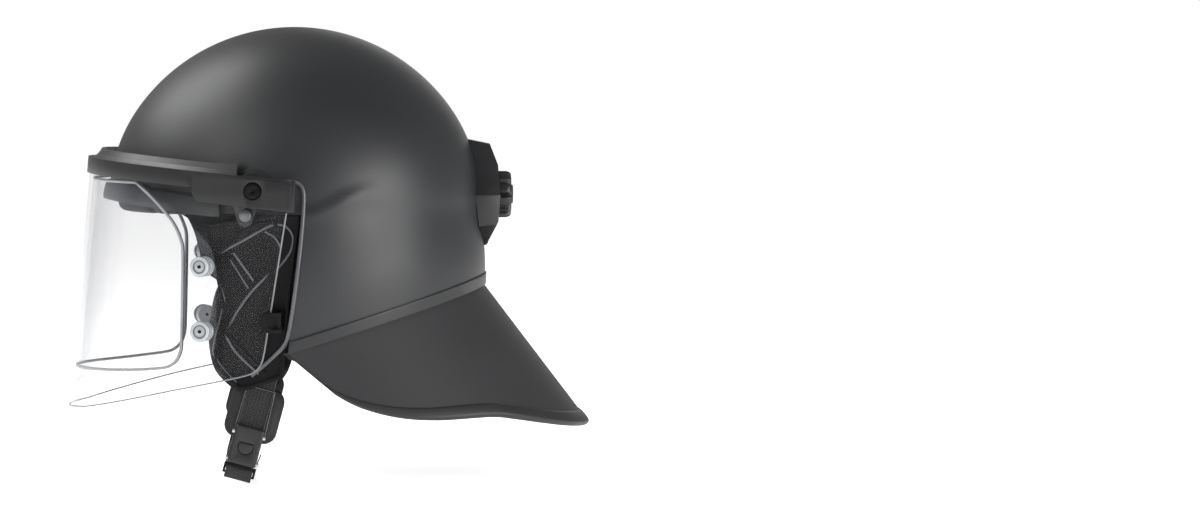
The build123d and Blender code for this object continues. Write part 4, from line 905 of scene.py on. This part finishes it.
# Straps: 20 mm ribbed polyester webbing, down to the buckle and under the chin.
# A flat woven section along each route, with ribs that follow its length. The long strap bends between the
# helmet and the buckle's tongue.
webbing = bpy.data.materials.new("ribbed_webbing")
webbing.use_nodes = True
tree = webbing.node_tree
shader = tree.nodes["Principled BSDF"]
flat = add(tree, "ShaderNodeTexCoord").outputs["UV"]
ribs = add(tree, "ShaderNodeTexWave", Vector=flat, Scale=2.2, Distortion=0.4, Detail=1.0)
ribs.bands_direction = "Y"
lines = add(tree, "ShaderNodeTexWave", Vector=flat, Scale=1.2, Distortion=0.2)
lines.bands_direction = "X"
weave = add(tree, "ShaderNodeMath", i0=ribs.outputs["Fac"], i1=lines.outputs["Fac"])
weave.operation = "ADD"
tone = add(tree, "ShaderNodeMix", i0=ribs.outputs["Fac"], i6=linear("0E0E0F"), i7=linear("242426"))
tone.data_type = "RGBA"
tree.links.new(tone.outputs[2], shader.inputs["Base Color"])
relief = add(tree, "ShaderNodeBump", Height=weave.outputs["Value"], Strength=0.9, Distance=0.0005)
tree.links.new(relief.outputs["Normal"], shader.inputs["Normal"])
shader.inputs["Roughness"].default_value = 0.75
shader.inputs["Sheen Weight"].default_value = 0.3


def strap_path(corners, radius_steps=9):
    """Points of a strap's route in its leaning plane, with its corners rounded."""
    route = [Vector(c) for c in corners]
    out = [route[0]]
    for a, b, c in zip(route, route[1:], route[2:]):
        reach = min(14.0, (b - a).length / 2.2, (c - b).length / 2.2)
        start = b + (a - b).normalized() * reach
        end = b + (c - b).normalized() * reach
        for k in range(radius_steps + 1):
            t = k / radius_steps
            out.append(start * (1 - t) ** 2 + b * 2 * t * (1 - t) + end * t * t)
    out.append(route[-1])
    fine = []
    for a, b in zip(out, out[1:]):
        count = max(1, int((b - a).length / 3))
        fine += [a.lerp(b, k / count) for k in range(count)]
    return fine + [out[-1]]


strap_section = round_section(20.0, 1.7, 0.8, 3)


def strap(name, corners, body, stands_for):
    """Webbing on a route of (across, drop) points, riding on a body or free to bend between two."""
    route = strap_path(corners)
    path = [strap_place(x, drop) for x, drop in route]
    normals = []
    for i in range(len(route)):
        ahead = route[min(i + 1, len(route) - 1)] - route[max(i - 1, 0)]
        sideways = Vector((ahead[1], -ahead[0])).normalized()
        normals.append(Vector((sideways[0], 0, 0)) + down * sideways[1])
    return swept(name, path, normals, strap_section, body, "webbing", webbing, stands_for, angle=40)


anchor = (126.4, 36)
strap_x = 113.6
strap("buckle_strap_webbing", [anchor, (strap_x, 155), (strap_x, 184)], "helmet", ["buckle_strap"])
chin = strap("chin_strap_webbing", [(112.5, 215.5), (0, 218.5), (-strap_x, 215.5), (-strap_x, 155),
                                    (-anchor[0], anchor[1])], None, ["chin_strap"])
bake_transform(chin)

# Buckle: a moulded black base with a D-shaped button, and a tongue of blackened steel in the strap's loop.
# The solids with rounded edges, a folded loop of webbing, and chromed wire for the strap's bar and side pins.
edged("buckle_base", "helmet", moulded, 0.35, 2)
edged("release_button", "button", bar_plastic, 0.4, 3)
edged("buckle_tongue", "tongue", pin_steel, 0.25, 2)
outward = Vector((1, 0, 0))
loop_path = [strap_place(strap_x, 217.4, k) for k in np.linspace(-10, 10, 9)]
swept("chin_strap_loop", loop_path, [outward] * len(loop_path), round_section(8.6, 4.6, 2.0, 5), "tongue",
      "webbing", webbing, angle=50)
wire_section = round_cord(0.5, 10)
keys = [strap_place(117.6, 186.5, -11.6), strap_place(116.4, 152, -10.6), strap_place(116.4, 152, 10.6),
        strap_place(117.6, 186.5, 11.6)]
wire = [p.lerp(q, k / 8) for p, q in zip(keys, keys[1:]) for k in range(8)] + [keys[-1]]
swept("strap_wire", wire, [outward] * len(wire), wire_section, "helmet", "chrome", chrome)
for half, word in ((-1, "front"), (1, "rear")):
    low, high = strap_place(117.6, 208, half * 11.3), strap_place(117.4, 199, half * 12.4)
    swept(f"buckle_side_pin_{word}", [low.lerp(high, k / 6) for k in range(7)], [outward] * 7, wire_section,
          "helmet", "chrome", chrome)

# Dial housing: a faceted shield moulded in the bar's nylon, with creases and two screw pockets.
# The solid with its facet edges rounded, on two blackened steel screws.
edged("dial_housing", "helmet", bar_plastic, 0.9, 3, 12)
edged("housing_screws", "helmet", pin_steel, 0.4, 3)

# Size dial: a ten-lobed satin rubber knob with a stepped face, and a bare nylon cap at its centre.
# Rings of a lobed outline, from its base to its middle, as (share of the radius, height, share of the lobes).
knob_rubber = surface("satin_knob_rubber", "111112", "19191B", 0.38, 2400.0, 0.00003, patch=120.0)
knob_rings = [(0.985, 0.0, 1.0), (1.0, 0.8, 1.0), (1.0, 8.4, 1.0), (0.985, 10.2, 1.0), (0.95, 11.6, 1.0),
              (0.90, 12.4, 0.9), (0.85, 12.7, 0.6), (0.79, 12.8, 0.25), (0.72, 12.8, 0.0), (0.69, 12.5, 0.0),
              (0.67, 11.7, 0.0), (0.60, 11.5, 0.0), (0.575, 11.7, 0.0), (0.56, 12.5, 0.0), (0.53, 12.8, 0.0),
              (0.50, 12.8, 0.0), (0.47, 12.4, 0.0), (0.2, 12.4, 0.0)]
knob_radius, lobes, lobe_depth = 17.4, 10, 2.3
knob_base_y, dial_z = 145.4, -7.5
spokes = 240
points = []
for share, height, lobe in knob_rings:
    for k in range(spokes):
        a = 2 * math.pi * k / spokes
        notch = max(0.0, math.cos(lobes * a)) ** 2.5 * lobe_depth * lobe
        r = knob_radius * share - notch
        points.append((r * math.cos(a), knob_base_y + height, dial_z + r * math.sin(a)))
mesh_piece("dial_knob_lobed", points, closed_tube(len(knob_rings), spokes), "dial",
           knob_rubber, ["dial_knob"], 40)
cap_profile = [(0.2, 0.0), (6.9, 0.0), (7.2, 0.3), (7.2, 0.9), (6.8, 1.3), (6.0, 1.4), (5.4, 1.1), (5.0, 0.9),
               (2.6, 0.9), (2.3, 1.2), (0.2, 1.3)]
lathe("dial_cap_turned", cap_profile, (0, knob_base_y + 12.8, dial_z), (0, 1, 0), "dial",
      bar_plastic, ["dial_cap"])

# Inner pieces: impact liner of dark foam beads, headband and adjuster of moulded nylon, and steel fixings.
# They keep the shapes of their solids.
foam = surface("impact_foam", "232325", "2D2D30", 0.8, 420.0, 0.0005, patch=160.0)
plain(["impact_liner"], foam)
nylon = surface("moulded_nylon", "1C1C1D", "262627", 0.45, 1800.0, 0.00004, patch=90.0)
plain(["headband", "adjuster_case", "adjuster_cover", "dial_shaft", "rack_left", "rack_right", "pivot_bushes",
       "friction_washers"], nylon)
brushed = surface("brushed_zinc_steel", "8E8F91", "A6A7A9", 0.3, 1200.0, 0.00003, metal=1.0, patch=300.0)
plain(["pivot_nuts"], brushed)
plain(["ear_guard_rivets"], pin_steel)

# Floor: a plain pale sheet under the helmet, with a faint glow of its own that keeps the ground white.
# One square far wider than the view, lying just under the chin strap.
floor_half, floor_z = 8, -0.2185
floor_mesh = bpy.data.meshes.new("floor")
floor_corners = [(x * floor_half, y * floor_half, floor_z) for x, y in ((-1, -1), (1, -1), (1, 1), (-1, 1))]
floor_mesh.from_pydata(floor_corners, [], [(0, 1, 2, 3)])
floor = bpy.data.objects.new("floor", floor_mesh)
bpy.context.scene.collection.objects.link(floor)
pale = bpy.data.materials.new("pale_floor")
pale.use_nodes = True
white = (1.0, 1.0, 1.0, 1.0)
for key, value in (("Base Color", linear("F6F6F6")), ("Roughness", 0.9), ("Specular IOR Level", 0.1),
                   ("Emission Color", white), ("Emission Strength", 0.75)):
    pale.node_tree.nodes["Principled BSDF"].inputs[key].default_value = value
floor.data.materials.append(pale)

# Light: soft panels to the left in front and behind, in front above, and a weak one behind at the right.
# The room looks white, and lights the helmet more weakly than it looks.
world = bpy.data.worlds.new("studio")
bpy.context.scene.world = world
world.use_nodes = True
room = world.node_tree
seen = add(room, "ShaderNodeBackground", Color=white, Strength=1.0)
lit = add(room, "ShaderNodeBackground", Color=white, Strength=0.3)
ray = add(room, "ShaderNodeLightPath")
choice = add(room, "ShaderNodeMixShader", i0=ray.outputs["Is Camera Ray"], i1=lit.outputs["Background"],
             i2=seen.outputs["Background"])
room.links.new(choice.outputs["Shader"], room.nodes["World Output"].inputs["Surface"])
lit_point = Vector((0, 0.02, -0.05))
for name, place, size, power in (
    ("key", (1.5, -1.9, 1.9), 1.8, 26.0), ("left_back", (1.6, 2.1, 0.25), 1.6, 62.0),
    ("front_top", (-0.9, -1.7, 2.1), 2.0, 60.0), ("right_back", (-2.3, 0.6, 0.6), 1.0, 3.0),
):
    lamp = bpy.data.lights.new(name, "AREA")
    lamp.size = size
    lamp.energy = power
    holder = bpy.data.objects.new(name, lamp)
    bpy.context.scene.collection.objects.link(holder)
    holder.location = place
    holder.rotation_euler = (lit_point - Vector(place)).to_track_quat("-Z", "Y").to_euler()

# Camera: a long lens from the wearer's left, a little above level, as in the photograph's side view.
# Its frame is shifted, because that view stands left of the photograph's middle.
camera_data = bpy.data.cameras.new("camera")
camera = bpy.data.objects.new("camera", camera_data)
bpy.context.scene.collection.objects.link(camera)
aim = Vector((0, -0.0225, -0.05775))
rise = math.radians(2.5)
distance = 6.0
camera.location = aim + Vector((math.cos(rise), 0, math.sin(rise))) * distance
camera.rotation_euler = (aim - camera.location).to_track_quat("-Z", "Y").to_euler()
camera_data.sensor_width = 36
camera_data.lens = 240
photo_width, photo_aim_x = 1200, 270
camera_data.shift_x = (photo_width / 2 - photo_aim_x) / photo_width
bpy.context.scene.camera = camera
bpy.context.scene.view_settings.view_transform = "Standard"

bpy.context.view_layer.update()
